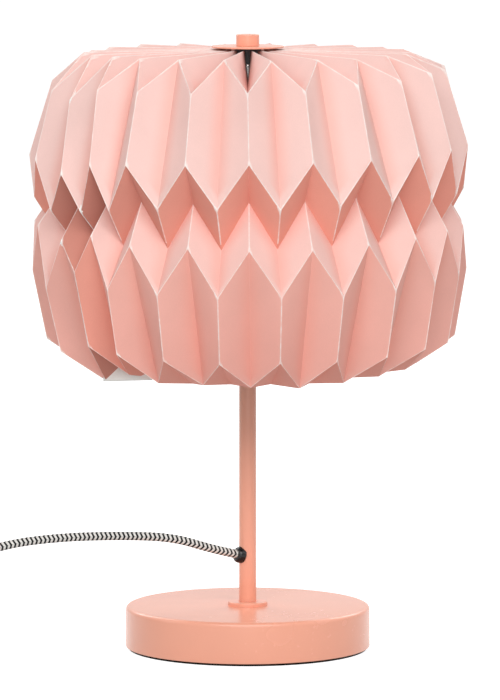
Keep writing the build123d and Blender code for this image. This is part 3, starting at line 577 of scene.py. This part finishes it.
def hardFinish(name):
    # metal, plastic, ceramic or foam: fine grain in the bump, slow mottling in colour and roughness
    s = hardSets[name]
    f = Finish(name)
    colour, mottle = s["colour"], s["mottle"]
    grain = f.noise(s["grain"], 3, 0.6, at=f.stretched(s.get("scale", (1, 1, 1))))
    cloud = f.noise(45, 4, 0.6)
    tone = f.blend(cloud.step(0.25, 0.75), shade(colour, 1 - mottle), shade(colour, 1 + mottle))
    tone = f.blend(grain.step(0.55, 0.8) * 0.3, tone, shade(colour, 1 + 1.6 * mottle))
    rough = s["roughness"] * (0.85 + 0.30 * cloud) + 0.10 * s["roughness"] * (grain - 0.5)
    f.set(Base_Color=tone, Roughness=rough, Normal=f.bump(grain, s["depth"], 0.7))
    f.set(Metallic=s.get("metal", 0.0), Specular_IOR_Level=s.get("shine", 0.5))
    return f.material


def glassFinish(name):
    f = Finish(name)
    smear = f.noise(30, 3)
    f.set(Base_Color=f.blend(smear, (0.94, 0.96, 0.97), (0.98, 0.99, 0.99)), Roughness=0.02 + 0.03 * smear)
    f.set(Transmission_Weight=1.0, IOR=1.45)
    return f.material


pinkPaint = paintFinish("pinkPaint")
# the pink paper blends a painted lit tone and a painted shaded tone of its print
pinkPaper = paperFinish("pinkPaper", paperSet["paintedLight"], paperSet["paintedShadeAndMottle"])
innerPaper = paperFinish("innerPaper", paperSet["inside"], shade(paperSet["inside"], 0.93), creased=False)
paperEdge = paperFinish("paperEdge", paperSet["edge"], paperSet["edge"], creased=False)
cordBraid = braidFinish("cordBraid")
strapWeave = strapFinish("strapWeave", strapSet["colour"])
clearGlass = glassFinish("clearGlass")
hard = {name: hardFinish(name) for name in hardSets}
print("finishes", len(bpy.data.materials))

dress(mainsCord, "lamp", [cordBraid], ["mains_cord"])
dress(coiledCord, "lamp", [cordBraid], ["coil_lead", "cord_coil", "plug_lead"])

# Fold lines down a pleat from the roof's hole to the hem, as radius and height in millimetres.
# The valley line ends in the hem's tip, which the ridge line's last fold and cut edge share.
shadeSet = {
    "pleats": 22,
    "valley": [(15.0, 393.4), (137.0, 395.0), (151.5, 348.5), (132.5, 321.0), (148.5, 290.5), (116.0, 195.0),
               (116.0, 195.0)],
    "ridge": [(17.5, 416.9), (112.5, 415.5), (148.0, 319.0), (132.5, 290.0), (150.0, 260.5), (141.0, 214.5),
              (94.0, 195.0)],
    # how far each fold line hangs off those heights: all round, for each 100 mm sideways, and for its square
    "valleyHang": [(0, 0, 0), (0, 3.4, 2.6), (0, 2.5, 0), (0, 1.5, 1.5), (0, 0, 3.4), (0, 0, 5.2),
                   (0, 0, 5.2)],
    "ridgeHang": [(0, 0, 0), (0, 0, 0), (-1.2, 1.7, 0.5), (0, 1, 1.5), (-2, 0, 3.3), (-0.7, 0, 2.2),
                  (0, 0, 5.2)],
    "lean": 0.0095,  # sideways for each millimetre below "leanTop"
    "leanTop": 417.4,
    "margin": {"start": (-98.6, -61.0, 193.4), "end": (-64.8, -84.0, 196.8), "height": 9.5},
    # pleats near the glued seam are pushed forwards: columns where the push starts, is whole and ends
    "push": {"start": -4, "whole": -8, "end": -22, "degrees": 8.0,
             "share": [0.3, 0.4, 1.05, 0.9, 0.75, 0.9, 0.9]},
    # corners crushed at the seam: (column, fold line) to millimetres in and up, and degrees forwards
    "crushed": {(-10, 1): (0, -5, 0), (-8, 1): (4, -9, -3.5), (-9, 2): (0, -6, 0), (-8, 2): (0, -8, 0),
                (-7, 2): (0, -4.5, 0), (-5, 2): (0, -2, 0), (-7, 3): (5, 0, 0), (-9, 4): (0, -8, 0),
                (-8, 4): (0, -5, 0), (-7, 4): (0, 8, 0), (-6, 4): (0, 2.3, 0), (-9, 5): (0, -4, 0),
                (-8, 5): (0, -6, 0), (-7, 5): (0, 4, 0), (-6, 5): (0, 2, 0), (-5, 5): (0, 1.5, 0)},
    # panels in the pocket behind the glued seam, painted darker as painted shade: (column, row) to a share
    "paintedShadePanels": {(-10, 2): 0.5, (-9, 2): 0.9, (-8, 2): 1.0, (-7, 2): 1.0, (-6, 2): 0.8, (-5, 2): 0.5, (-4, 2): 0.5,
            (-3, 2): 0.2, (-2, 2): 0.3, (4, 2): 0.3, (5, 2): 0.3, (-8, 3): 0.8, (-9, 3): 0.5, (-8, 5): 1.0,
            (-6, 5): 0.3, (-9, 5): 0.6, (-7, 4): 0.1},
    "nicks": [(-8, 1), (-8, 2), (-7, 2), (-8, 4), (-7, 3)],
    "nickReach": 4.0,
    "rows": [10, 9, 7, 7, 14, 7],  # cells of the grid down each row of panels
    "across": [0, 0.03, 0.12, 0.30, 0.50, 0.70, 0.88, 0.97],
    "halfPleat": 24.5,
    "rowLengths": [121.9, 48.9, 33.2, 34.2, 100.6, 40.0],
    "squareShare": 0.67,  # of a length along a panel that is square to its zigzag fold
    # painted light and shade: each row of panels has its share of the painted lit tone, near 1 on the rows
    # that face up and 0 in the undercut
    "rowPaintedLight": [0.95, 1.0, 0.0, 0.86, 0.36, 0.22],
    "seam": -7,
    "thickness": 0.6,
    "jitter": 0.45,
    "mostJitter": 1.8,
    "foldJitter": [0, 0.9, 1.0, 0.8, 1.0, 1.3, 1.3],
    "turnJitter": 0.28,  # degrees for each millimetre of the others
    "bow": 0.55,
    "mostBow": 1.5,
    "rowBow": [1.0, 1.0, 0.4, 0.4, 1.3, 0.3],
    "cornerSeed": 11,
    "bowSeed": 5,
}
# Which of the two long folds stands out in each row, and which of the zigzag folds do.
valleyStandsOut = np.array([False, True, False, True, False, True])
zigzagStandsOut = [None, True, True, False, True, True]


def seamPush(columns):
    # degrees that each column is pushed towards the front: a smooth rise, then an even fall to the back
    p = shadeSet["push"]
    t = np.clip((columns - p["start"]) / (p["whole"] - p["start"]), 0, 1)
    fall = np.clip((columns - p["end"]) / (p["whole"] - p["end"]), 0, 1)
    return p["degrees"] * np.where(columns > p["whole"], t * t * (3 - 2 * t), fall)


def shadeCorners(columns, rng):
    # place of every fold corner: radius and height of its line, with the small unevenness of hand folding
    s = shadeSet
    isRidge = (columns % 2 != 0)[:, None, None]
    rz = np.where(isRidge, np.array(s["ridge"])[None], np.array(s["valley"])[None])
    hang = np.where(isRidge, np.array(s["ridgeHang"], float)[None], np.array(s["valleyHang"], float)[None])
    loose = np.array(s["foldJitter"])[None, :] * s["jitter"]
    around, last = 2 * s["pleats"], len(s["rows"])
    shift = rng.normal(0, 1, (around, last + 1, 3))[columns % around]
    shift = np.clip(shift, -s["mostJitter"], s["mostJitter"]) * loose[..., None]
    shift[:, last] = np.where(isRidge[:, 0], shift[:, last], shift[:, last - 1])
    # columns counted from the front, with the left sheet's below zero
    fromFront = np.where(columns > s["pleats"], columns - around, columns)
    for (column, fold), (inwards, upwards, forwards) in s["crushed"].items():
        shift[fromFront == column, fold] = -inwards, upwards, forwards / s["turnJitter"]
        if fold == last - 1 and column % 2 == 0:
            shift[fromFront == column, last] = shift[fromFront == column, last - 1]
    pushed = seamPush(fromFront)[:, None] * s["push"]["share"]
    turn = np.radians(fromFront * 180.0 / s["pleats"])[:, None]
    turn = turn + np.radians(pushed + shift[..., 2] * s["turnJitter"])
    radius = rz[..., 0] + shift[..., 0]
    side = radius * np.sin(turn)
    height = rz[..., 1] + shift[..., 1] + hang[..., 0]
    height = height + hang[..., 1] * side / 100 + hang[..., 2] * (side / 100) ** 2
    lean = s["lean"] * (s["leanTop"] - height)
    return np.stack([side + lean, -radius * np.cos(turn), height], axis=-1)


def makeSheet(name, first, last, node):
    # each panel between two long folds and two zigzag folds is a bilinear patch of its four corners,
    # bowed a little along its normal by sin(pi u) sin(pi v)
    s = shadeSet
    rng = np.random.default_rng(s["cornerSeed"])
    panels, rows, around = last - first, len(s["rows"]), 2 * s["pleats"]
    columns = np.arange(first, last + 1)
    corners = shadeCorners(columns, rng)
    bows = np.random.default_rng(s["bowSeed"]).normal(0, 1, (around, rows))
    across = np.array(s["across"])
    u = np.concatenate([k + across for k in range(panels)] + [[panels]])
    v = np.concatenate([i + np.arange(n) / n for i, n in enumerate(s["rows"])] + [[rows]])
    k = np.minimum(u.astype(int), panels - 1)
    i = np.minimum(v.astype(int), rows - 1)
    fu, fv = (u - k)[None, :, None], (v - i)[:, None, None]
    kk, ii = k[None, :], i[:, None]
    a, b = corners[kk, ii], corners[kk + 1, ii]
    c, d = corners[kk, ii + 1], corners[kk + 1, ii + 1]
    points = (a * (1 - fu) + b * fu) * (1 - fv) + (c * (1 - fu) + d * fu) * fv
    normal = np.cross(d - a, c - b)
    normal /= np.linalg.norm(normal, axis=-1)[..., None] + 1e-9
    amount = np.clip(bows[columns[kk] % around, ii], -s["mostBow"], s["mostBow"]) * s["bow"]
    amount = amount * np.array(s["rowBow"])[ii]
    amount = amount * np.sin(math.pi * fu[..., 0]) * np.sin(math.pi * fv[..., 0])
    points = points + normal * amount[..., None]
    # distances in millimetres to the nearest fold that stands out and to the nearest one that goes in
    valleyLeft = (columns[kk] % 2 == 0)
    toLeft, toRight = fu[..., 0] * s["halfPleat"], (1 - fu[..., 0]) * s["halfPleat"]
    toValleyLine = np.where(valleyLeft, toLeft, toRight) + 0 * fv[..., 0]
    toRidgeLine = np.where(valleyLeft, toRight, toLeft) + 0 * fv[..., 0]
    out = valleyStandsOut[ii]
    ridgeFold = np.where(out, toValleyLine, toRidgeLine)
    valleyFold = np.where(out, toRidgeLine, toValleyLine)
    length = np.array(s["rowLengths"])[ii] * s["squareShare"]
    toTop, toBottom = fv[..., 0] * length + 0 * ridgeFold, (1 - fv[..., 0]) * length + 0 * ridgeFold
    for row in range(rows):
        for fold, distance in ((row, toTop), (row + 1, toBottom)):
            if fold in (0, rows):
                continue
            if zigzagStandsOut[fold]:
                ridgeFold = np.where(ii == row, np.minimum(ridgeFold, distance), ridgeFold)
            else:
                valleyFold = np.where(ii == row, np.minimum(valleyFold, distance), valleyFold)
    nick = np.zeros(points.shape[:2])
    for column, fold in s["nicks"]:
        for spot in corners[(columns - column) % around == 0, fold]:
            nick = np.maximum(nick, 1 - np.linalg.norm(points - spot, axis=-1) / s["nickReach"])
    # painted light and shade: each face gets its row's share of the painted lit tone, and the pocket panels
    # behind the seam get a share below 0 of painted shade
    paintedLight = np.array(s["rowPaintedLight"])[i[:-1], None] + 0 * u[None, :-1]
    for (column, row), share in s["paintedShadePanels"].items():
        paintedLight[(ii == row)[:-1] & ((kk + first - column) % around == 0)[:, :-1]] = -share
    uv = np.stack(np.broadcast_arrays(u[None, :] * s["halfPleat"] * 0.001, v[:, None] * 0.05), axis=-1)
    piece = gridPiece(name, points * 0.001, uv=uv, recalc=False, sharpAngle=14,
                      attributes={"ridgeFold": ridgeFold, "valleyFold": valleyFold, "nick": nick},
                      faceAttributes={"paintedLight": paintedLight})
    mesh = piece.data
    outward = sum(p.normal.dot((p.center.x, p.center.y, 0)) * p.area for p in mesh.polygons)
    if outward < 0:
        mesh.flip_normals()
    skin = piece.modifiers.new("paper", "SOLIDIFY")
    skin.thickness = s["thickness"] * 0.001
    skin.offset = 0
    skin.use_even_offset = False
    skin.material_offset = 1
    skin.material_offset_rim = 2
    dress(piece, "shade", [pinkPaper, innerPaper, paperEdge], [node])


shadeSet["second"] = shadeSet["seam"] + shadeSet["pleats"]
makeSheet("shadeRight", shadeSet["seam"], shadeSet["second"], "shade_sheet_right")
makeSheet("shadeLeft", shadeSet["second"], shadeSet["seam"] + 2 * shadeSet["pleats"], "shade_sheet_left")


def patch(topLeft, topRight, bottomLeft, bottomRight, across, down):
    # even grid of points between four corners
    fu, fv = np.meshgrid(across, down)
    fu, fv = fu[..., None], fv[..., None]
    top = topLeft * (1 - fu) + topRight * fu
    return top * (1 - fv) + (bottomLeft * (1 - fu) + bottomRight * fu) * fv


# "across" and "down" say which part of its panel a tape covers
tapeSet = {"thickness": 0.25, "behind": 0.9, "rows": (1, 4), "across": (0.12, 0.5), "down": (0.06, 0.94)}


def makeTapes():
    # thin strips behind the panels beside both seams, each on its own panel, and the sheet's bare margin,
    # which hangs below the lifted hem at the front seam
    s, t = shadeSet, tapeSet
    parts = []
    for column in (s["seam"], s["second"]):
        near, far = shadeCorners(np.array([column, column + 1]), np.random.default_rng(s["cornerSeed"]))
        for row in t["rows"]:
            strip = patch(near[row], far[row], near[row + 1], far[row + 1], np.linspace(*t["across"], 6),
                          np.linspace(*t["down"], 16))
            inward = np.cross(far[row + 1] - near[row], near[row + 1] - far[row])
            inward /= np.linalg.norm(inward)
            if inward[:2].dot(near[row][:2]) > 0:
                inward = -inward
            parts.append(strip + inward * t["behind"])
    low = np.array([s["margin"]["start"], s["margin"]["end"]], float)
    high = low + [0, 0, s["margin"]["height"]]
    parts.append(patch(high[0], high[1], low[0], low[1], np.linspace(0, 1, 24), np.linspace(0, 1, 8)))
    return parts


def joinGrids(name, grids, thickness):
    # several grids of points in one mesh, each given its thickness
    pieces = [gridPiece(f"{name}{k}", grid * 0.001, recalc=False) for k, grid in enumerate(grids)]
    work = bmesh.new()
    for part in pieces:
        work.from_mesh(part.data)
        bpy.data.objects.remove(part)
    mesh = bpy.data.meshes.new(name)
    work.to_mesh(mesh)
    work.free()
    piece = bpy.data.objects.new(name, mesh)
    scene.collection.objects.link(piece)
    skin = piece.modifiers.new("thickness", "SOLIDIFY")
    skin.thickness = thickness * 0.001
    skin.offset = 0
    return piece


tapes = joinGrids("seamTapes", makeTapes(), tapeSet["thickness"])
dress(tapes, "shade", [innerPaper], ["seam_tapes"])
print("shade")

baseSet = {"radius": 85.0, "low": 1.6, "top": 30.0, "edge": 3.4, "wall": 1.2, "bore": 5.0}
stemSet = {"radius": 6.0, "bore": 5.0, "top": 215.0, "rings": (90.0, 120.0), "collar": 13.75,
           "collarHeight": 2.8, "collarBore": 6.05, "collarLip": 6.9}


def makeBase():
    b, s = baseSet, stemSet
    inside, high = b["radius"] - b["wall"], b["top"] + s["collarHeight"]
    cover = turnedPiece("baseCover", [
        (b["bore"], b["top"]), (b["radius"], b["top"], b["edge"]), (b["radius"], b["low"], 0.5),
        (inside, b["low"], 0.4), (inside, b["top"] - b["wall"], b["edge"] - b["wall"]),
        (b["bore"], b["top"] - b["wall"])], segments=160, steps=9)
    dress(cover, "lamp", [pinkPaint], ["base_cover"])
    collar = turnedPiece("stemCollar", [
        (s["collarBore"], b["top"]), (s["collar"], b["top"]), (s["collar"], high, 1.0),
        (s["collarLip"], high, 0.5), (s["collarBore"], high - 0.6)])
    dress(collar, "lamp", [pinkPaint], ["stem_collar"])
    stem = turnedPiece("stemTube", [
        (s["bore"], b["top"]), (s["radius"], b["top"], 0.3), *((s["radius"], z) for z in s["rings"]),
        (s["radius"], s["top"], 0.4), (s["bore"], s["top"])], segments=72)
    dress(stem, "lamp", [pinkPaint], ["stem_tube"])


def makeOutlet():
    # black flanged bush: a dome with a rounded rim turned about the outlet's axis
    o = outletSet
    bush = turnedPiece("cordBush", [
        (o["hole"], o["back"]), (o["bush"], o["back"]), (o["bush"], o["face"] - 1.9, 0.7),
        (o["rim"], o["face"] - 0.5, 0.6), (o["lip"], o["face"], 0.35), (o["hole"], o["face"] - 0.15)],
        segments=64, centre=outletMid, axis=outletWay)
    dress(bush, "lamp", [hard["glossBlack"]], ["cord_grommet"])
    line = np.array([outletMid - outletWay * o["inset"], outletMid + outletWay * o["face"]]) * 0.001
    stub, _ = tubePiece("cordInOutlet", line, cordSet["diameter"] / 2000, cordSet["segments"])
    dress(stub, "lamp", [cordBraid], ["cord_in_outlet"])


makeBase()
makeOutlet()
print("base and stem")

topSet = {"disc": 25.0, "low": 418.4, "thick": 1.2, "bore": 3.05, "knob": 8.0, "knobTop": 427.6}


def makeTop():
    t = topSet
    high = t["low"] + t["thick"]
    disc = turnedPiece("topDisc", [
        (t["bore"], t["low"]), (t["disc"], t["low"], 0.35), (t["disc"], high, 0.45), (t["bore"], high)],
        segments=120)
    dress(disc, "lamp", [pinkPaint], ["top_disc"])
    knob = turnedPiece("finialKnob", [
        (t["bore"], high + 0.02), (t["knob"], high + 0.02, 0.4), (t["knob"], t["knobTop"], 0.9),
        (0, t["knobTop"]), (0, t["knobTop"] - 1), (t["bore"], t["knobTop"] - 1)], segments=80, closed=False)
    dress(knob, "knob", [pinkPaint], ["finial_knob"])


makeTop()
print("top")


def nodeBox(node):
    lo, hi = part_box(node)
    return np.array(lo) * 1000, np.array(hi) * 1000


threadSet = {"pitch": 3.63, "segments": 64, "perTurn": 10, "ends": 1.2}


def threadedWall(radius, low, high, depth, wall):
    # points of a wall whose radius follows a rounded thread, less by up to its depth as the cosine of
    # height over pitch less the angle, and runs out at both ends
    pitch, segments, ends = threadSet["pitch"], threadSet["segments"], threadSet["ends"]
    rows = int(threadSet["perTurn"] * (high - low) / pitch)
    z = np.linspace(low, high, rows)[:, None]
    angle = np.linspace(0, 2 * math.pi, segments, endpoint=False)[None, :]
    ease = np.clip((z - low) / ends, 0, 1) * np.clip((high - z) / ends, 0, 1)
    r = radius - depth * ease * (1 - np.cos(2 * math.pi * (z - low) / pitch - angle)) / 2
    outer = np.stack([r * np.cos(angle), r * np.sin(angle), z + 0 * angle], axis=-1)
    inner = np.stack([(r - wall) * np.cos(angle), (r - wall) * np.sin(angle), z + 0 * angle], axis=-1)
    return np.concatenate([outer, inner[::-1]])


bulbSet = {"thread": 13.2, "threadDepth": 0.85, "capWall": 0.4, "foot": 11.7, "footBore": 6.4,
           "footHeight": 1.5, "ball": 30.0, "ballEnd": -40, "neck": 12.5, "neckHeight": 11,
           "shoulderPull": 22.4, "neckPull": 9.0, "glass": 0.9}


def makeBulb():
    b = bulbSet
    lo, hi = nodeBox("bulb_screw_cap")
    wall = threadedWall(b["thread"], lo[2] + b["footHeight"], hi[2], b["threadDepth"], b["capWall"])
    angle = np.linspace(0, 2 * math.pi, wall.shape[1], endpoint=False)
    foot, inFoot = (
        np.stack([r * np.cos(angle), r * np.sin(angle), np.full_like(angle, lo[2])], axis=-1)[None]
        for r in (b["foot"], b["footBore"]))
    cap = gridPiece("bulbCap", np.concatenate([inFoot, foot, wall, inFoot + (0, 0, 0.3)]) * 0.001,
                    closedRows=True, closedCols=True, sharpAngle=45)
    dress(cap, "bulb", [hard["capAluminium"]], ["bulb_screw_cap"])

    lo, hi = nodeBox("bulb_globe")
    ball, neck = b["ball"], b["neck"]
    centre = hi[2] - ball
    turn = np.radians(np.linspace(90, b["ballEnd"], 34))
    outer = np.stack([ball * np.cos(turn), centre + ball * np.sin(turn)], axis=-1)
    outer[0, 0] = 0
    # the shoulder runs into the neck along a cubic curve with a given slope at both ends
    t = np.linspace(0, 1, 15)[1:]
    start, end = outer[-1], np.array([neck, lo[2] + b["neckHeight"]])
    slope = (outer[-1] - outer[-2]) / np.linalg.norm(outer[-1] - outer[-2]) * b["shoulderPull"]
    finish = np.array([0, -b["neckPull"]])
    bend = ((2 * t ** 3 - 3 * t ** 2 + 1)[:, None] * start + (t ** 3 - 2 * t ** 2 + t)[:, None] * slope
            + (-2 * t ** 3 + 3 * t ** 2)[:, None] * end + (t ** 3 - t ** 2)[:, None] * finish)
    skin = np.concatenate([outer, bend, [[neck, lo[2]]]])
    way = np.gradient(skin, axis=0)
    way /= np.linalg.norm(way, axis=1)[:, None]
    inner = skin + np.stack([way[:, 1], -way[:, 0]], axis=-1) * b["glass"]
    inner[0] = (0, skin[0, 1] - b["glass"])
    profile = np.concatenate([skin, inner[::-1]])
    globe = turnedPiece("bulbGlobe", [tuple(p) for p in profile], segments=96, closed=False, sharpAngle=60)
    dress(globe, "bulb", [clearGlass], ["bulb_globe"])


holderSet = {"radius": 20.0, "groove": 19.3, "grooves": 5, "grooveStep": 3.0, "firstGroove": 5,
             "skirt": 17.95, "mouth": 15.0, "inside": 16.0, "collar": 14.0, "shell": 13.75,
             "shellDepth": 0.35, "shellWall": 0.12}


def makeHolder():
    # grooved body over the cap, and the threaded shell that takes the bulb
    h = holderSet
    top, seam = nodeBox("holder_body")[1][2], nodeBox("holder_cap")[1][2]
    grooves = []
    for k in range(h["grooves"]):
        z = seam + h["firstGroove"] + h["grooveStep"] * k
        grooves += [(h["radius"], z), (h["groove"], z + 0.5), (h["groove"], z + 1.1), (h["radius"], z + 1.6)]
    body = turnedPiece("holderBody", [
        (h["skirt"], seam - 4), (h["skirt"], seam), (h["radius"], seam, 0.3)] + grooves + [
        (h["radius"], top, 0.9), (h["mouth"], top, 0.6), (h["mouth"], top - 2), (h["inside"], top - 2),
        (h["inside"], seam - 2), (h["collar"], seam - 2), (h["collar"], seam - 4)])
    dress(body, "lamp", [hard["blackPlastic"]], ["holder_body"])
    lo, hi = nodeBox("holder_screw_shell")
    grid = threadedWall(h["shell"], lo[2], hi[2], h["shellDepth"], h["shellWall"])
    shell = gridPiece("holderShell", grid * 0.001, closedRows=True, closedCols=True, sharpAngle=50)
    dress(shell, "lamp", [hard["brassPlain"]], ["holder_screw_shell"])


makeBulb()
makeHolder()
print("bulb and lampholder")


tieSet = {"inset": 0.42, "overlap": 0.16, "corner": 4.2, "halfWidth": 4, "thickness": 0.7,
          "lapX": 0.05, "lapZ": 0.08}


def makeTie():
    # woven strap: a rounded rectangle carried once round the turns, with its end lying on itself
    t = tieSet
    lo, hi = nodeBox("coil_tie")
    mid = (lo + hi) / 2
    halfX, halfZ = (hi[0] - lo[0]) / 2 - t["inset"], (hi[2] - lo[2]) / 2 - t["inset"]
    turn = np.linspace(0, 2 * math.pi * (1 + t["overlap"]), 150)
    power = 2 / t["corner"]
    x = np.sign(np.cos(turn)) * np.abs(np.cos(turn)) ** power * halfX
    z = np.sign(np.sin(turn)) * np.abs(np.sin(turn)) ** power * halfZ
    # the start lies inside the end
    inner = np.clip(turn / (2 * math.pi * t["overlap"]), 0, 1)
    x = x * (1 - t["lapX"] * (1 - inner))
    z = z * (1 - t["lapZ"] * (1 - inner))
    wide = np.linspace(-t["halfWidth"], t["halfWidth"], 9)[None, :]
    points = np.stack([x[:, None] + 0 * wide, wide + 0 * x[:, None], z[:, None] + 0 * wide], axis=-1) + mid
    piece = gridPiece("coilTie", points * 0.001, recalc=False, sharpAngle=60)
    skin = piece.modifiers.new("strap", "SOLIDIFY")
    skin.thickness = t["thickness"] * 0.001
    skin.offset = 0
    return dress(piece, "lamp", [strapWeave], ["coil_tie"])


def plugFrame(points):
    # from the plug's own frame (along, across, up) to the lamp's
    side = np.array([-plugWay[1], plugWay[0], 0])
    return plugTail + points[..., :1] * plugWay + points[..., 1:2] * side + points[..., 2:] * (0, 0, 1)


def makePlug():
    # body: at each station along the plug, a superellipse whose width and height follow smooth curves
    p = plugSet
    g, length = p["grooves"], p["relief"] + p["depth"]
    station, *shapes = np.array(p["stations"]).T
    along = np.concatenate([np.linspace(0, p["relief"], 67), np.linspace(p["relief"] + 0.4, length, 60)])
    w, h, n = (np.interp(along, station, k) for k in shapes)
    wave = np.clip(np.sin(along * 2 * math.pi / g["pitch"]), 0, 1) ** 0.5
    groove = np.where(along < g["end"], g["depth"] * wave, 0)
    w, h = w - groove, h - groove
    angle = np.linspace(0, 2 * math.pi, 72, endpoint=False)[None, :]
    c, s = np.cos(angle), np.sin(angle)
    y = w[:, None] * np.sign(c) * np.abs(c) ** (2 / n[:, None])
    z = h[:, None] * np.sign(s) * np.abs(s) ** (2 / n[:, None])
    x = along[:, None] + 0 * y
    body = np.stack([x, y, z], axis=-1)
    body = np.concatenate([body[:1] * [1, 0, 0], body, body[-1:] * [1, 0, 0]])
    piece = gridPiece("plugBody", plugFrame(body) * 0.001, closedCols=True, sharpAngle=40)
    dress(piece, "lamp", [hard["blackPlastic"]], ["plug_body"])
    pins = []
    for side in (-1, 1):
        base = plugFrame(np.array([[length, side * p["spacing"] / 2, 0]]))[0]
        pins.append(turnedPiece(f"plugPin{(side + 3) // 2}", [
            (0, p["sleeve"]), (p["pin"] / 2, p["sleeve"]), (p["pin"] / 2, p["pinLength"], 1.4),
            (0, p["pinLength"])], segments=40, steps=6, closed=False, centre=base, axis=plugWay))
    for pin in pins:
        dress(pin, "lamp", [hard["pinNickel"]], ["plug_pins"])
    return piece, pins


coilTie = makeTie()
plugBody, plugPins = makePlug()
print("tie and plug")

nodeFinishes = {
    "blackFoam": ["base_pad"],
    "castIron": ["base_weight"],
    "zincSteel": ["base_washer", "base_nut", "lower_pipe", "upper_pipe", "harp_saddle", "harp_wire",
                  "harp_ferrules", "harp_hub", "hub_stud", "switch_screws"],
    "blackPlastic": ["cord_anchor", "holder_cap", "hub_bush", "plug_pin_sleeves"],
    "brassPlain": ["terminal_screws", "holder_contact", "bulb_tip_contact", "switch_contacts"],
    "wireBrown": ["core_wires"],
    "whiteCeramic": ["holder_insert"],
    "blackGlass": ["bulb_insulator"],
    "phosphor": ["bulb_filaments"],
    "blackPaint": ["seat_plate"],
    "brightSteel": ["hub_washer"],
    "glossBlack": ["switch_lid", "switch_tray", "switch_rocker"],
}
for finish, nodes in nodeFinishes.items():
    for node in nodes:
        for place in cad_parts[node].material_slots:
            place.material = hard[finish]
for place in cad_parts["bulb_glass_stem"].material_slots:
    place.material = clearGlass

lightSet = {
    "world": 0.32,
    "floorGlow": 0.85,
    "floorColour": 0.50,
    "floorSize": 12.0,
    "floorDrop": 0.0002,
    "aim": (0, 0, 0.25),
    "lamps": [
        {"name": "frontLeft", "turn": -17, "rise": 33, "far": 3.0, "size": 1.3, "power": 27},
        {"name": "frontRight", "turn": 17, "rise": 33, "far": 3.0, "size": 1.3, "power": 27},
        {"name": "frontLow", "turn": 0, "rise": 8, "far": 3.0, "size": 1.3, "power": 9},
        {"name": "sideLeft", "turn": -80, "rise": 20, "far": 3.0, "size": 1.3, "power": 7},
        {"name": "sideRight", "turn": 80, "rise": 20, "far": 3.0, "size": 1.3, "power": 7},
        {"name": "backLeft", "turn": -142, "rise": 34, "far": 3.0, "size": 1.5, "power": 30},
        {"name": "backRight", "turn": 142, "rise": 34, "far": 3.0, "size": 1.5, "power": 30},
    ],
}


def makeStage():
    size, low = lightSet["floorSize"], -lightSet["floorDrop"]
    points = np.array([[(-size, -size, low), (size, -size, low)], [(-size, size, low), (size, size, low)]])
    floor = gridPiece("floor", points, recalc=False)
    f = Finish("floorWhite")
    f.set(Base_Color=(lightSet["floorColour"],) * 3, Roughness=0.95)
    speck = f.noise(90, 2)
    f.set(Normal=f.bump(speck, 0.0001, 0.2))
    path = f.tree.nodes.new("ShaderNodeLightPath")
    glow = f.node("ShaderNodeEmission", None, {"Color": (1, 1, 1), "Strength": lightSet["floorGlow"]})
    seen = Wire(f, path.outputs["Is Camera Ray"]) + Wire(f, path.outputs["Is Glossy Ray"])
    seen = (seen + Wire(f, path.outputs["Is Transmission Ray"])).lower(1.0)
    dark = f.node("ShaderNodeEmission", None, {"Color": (0, 0, 0), "Strength": 0.0})
    both = f.node("ShaderNodeMixShader", None, {0: seen, 1: dark, 2: glow})
    total = f.node("ShaderNodeAddShader", None, {0: Wire(f, f.shader.outputs[0]), 1: both})
    f.tree.links.new(total.socket, f.output.inputs["Surface"])
    floor.data.materials.append(f.material)


def makeWorld():
    world = bpy.data.worlds.new("studio")
    scene.world = world
    world.use_nodes = True
    tree = world.node_tree
    tree.nodes.clear()
    output = tree.nodes.new("ShaderNodeOutputWorld")
    path = tree.nodes.new("ShaderNodeLightPath")
    first = tree.nodes.new("ShaderNodeMath")
    second = tree.nodes.new("ShaderNodeMath")
    first.operation = second.operation = "MAXIMUM"
    soft, seen = (tree.nodes.new("ShaderNodeBackground") for k in range(2))
    for light, strength in ((soft, lightSet["world"]), (seen, 1.0)):
        light.inputs["Color"].default_value = (1, 1, 1, 1)
        light.inputs["Strength"].default_value = strength
    mix = tree.nodes.new("ShaderNodeMixShader")
    for start, end in ((path.outputs["Is Camera Ray"], first.inputs[0]),
                       (path.outputs["Is Glossy Ray"], first.inputs[1]),
                       (first.outputs[0], second.inputs[0]),
                       (path.outputs["Is Transmission Ray"], second.inputs[1]),
                       (second.outputs[0], mix.inputs[0]), (soft.outputs[0], mix.inputs[1]),
                       (seen.outputs[0], mix.inputs[2]), (mix.outputs[0], output.inputs["Surface"])):
        tree.links.new(start, end)


def makeLamps():
    # each lamp stands at a turn from the camera's side and a rise above the aim, and points at it
    for lamp in lightSet["lamps"]:
        turn, rise = math.radians(lamp["turn"]), math.radians(lamp["rise"])
        way = np.array([math.sin(turn) * math.cos(rise), -math.cos(turn) * math.cos(rise), math.sin(rise)])
        data = bpy.data.lights.new(lamp["name"], "AREA")
        data.shape = "SQUARE"
        data.size = lamp["size"]
        data.energy = lamp["power"]
        holder = bpy.data.objects.new(lamp["name"], data)
        holder.location = np.array(lightSet["aim"]) + way * lamp["far"]
        holder.rotation_euler = (math.pi / 2 - rise, 0, turn)
        scene.collection.objects.link(holder)


makeStage()
makeWorld()
makeLamps()
scene.view_settings.view_transform = "Standard"
print("floor and light")
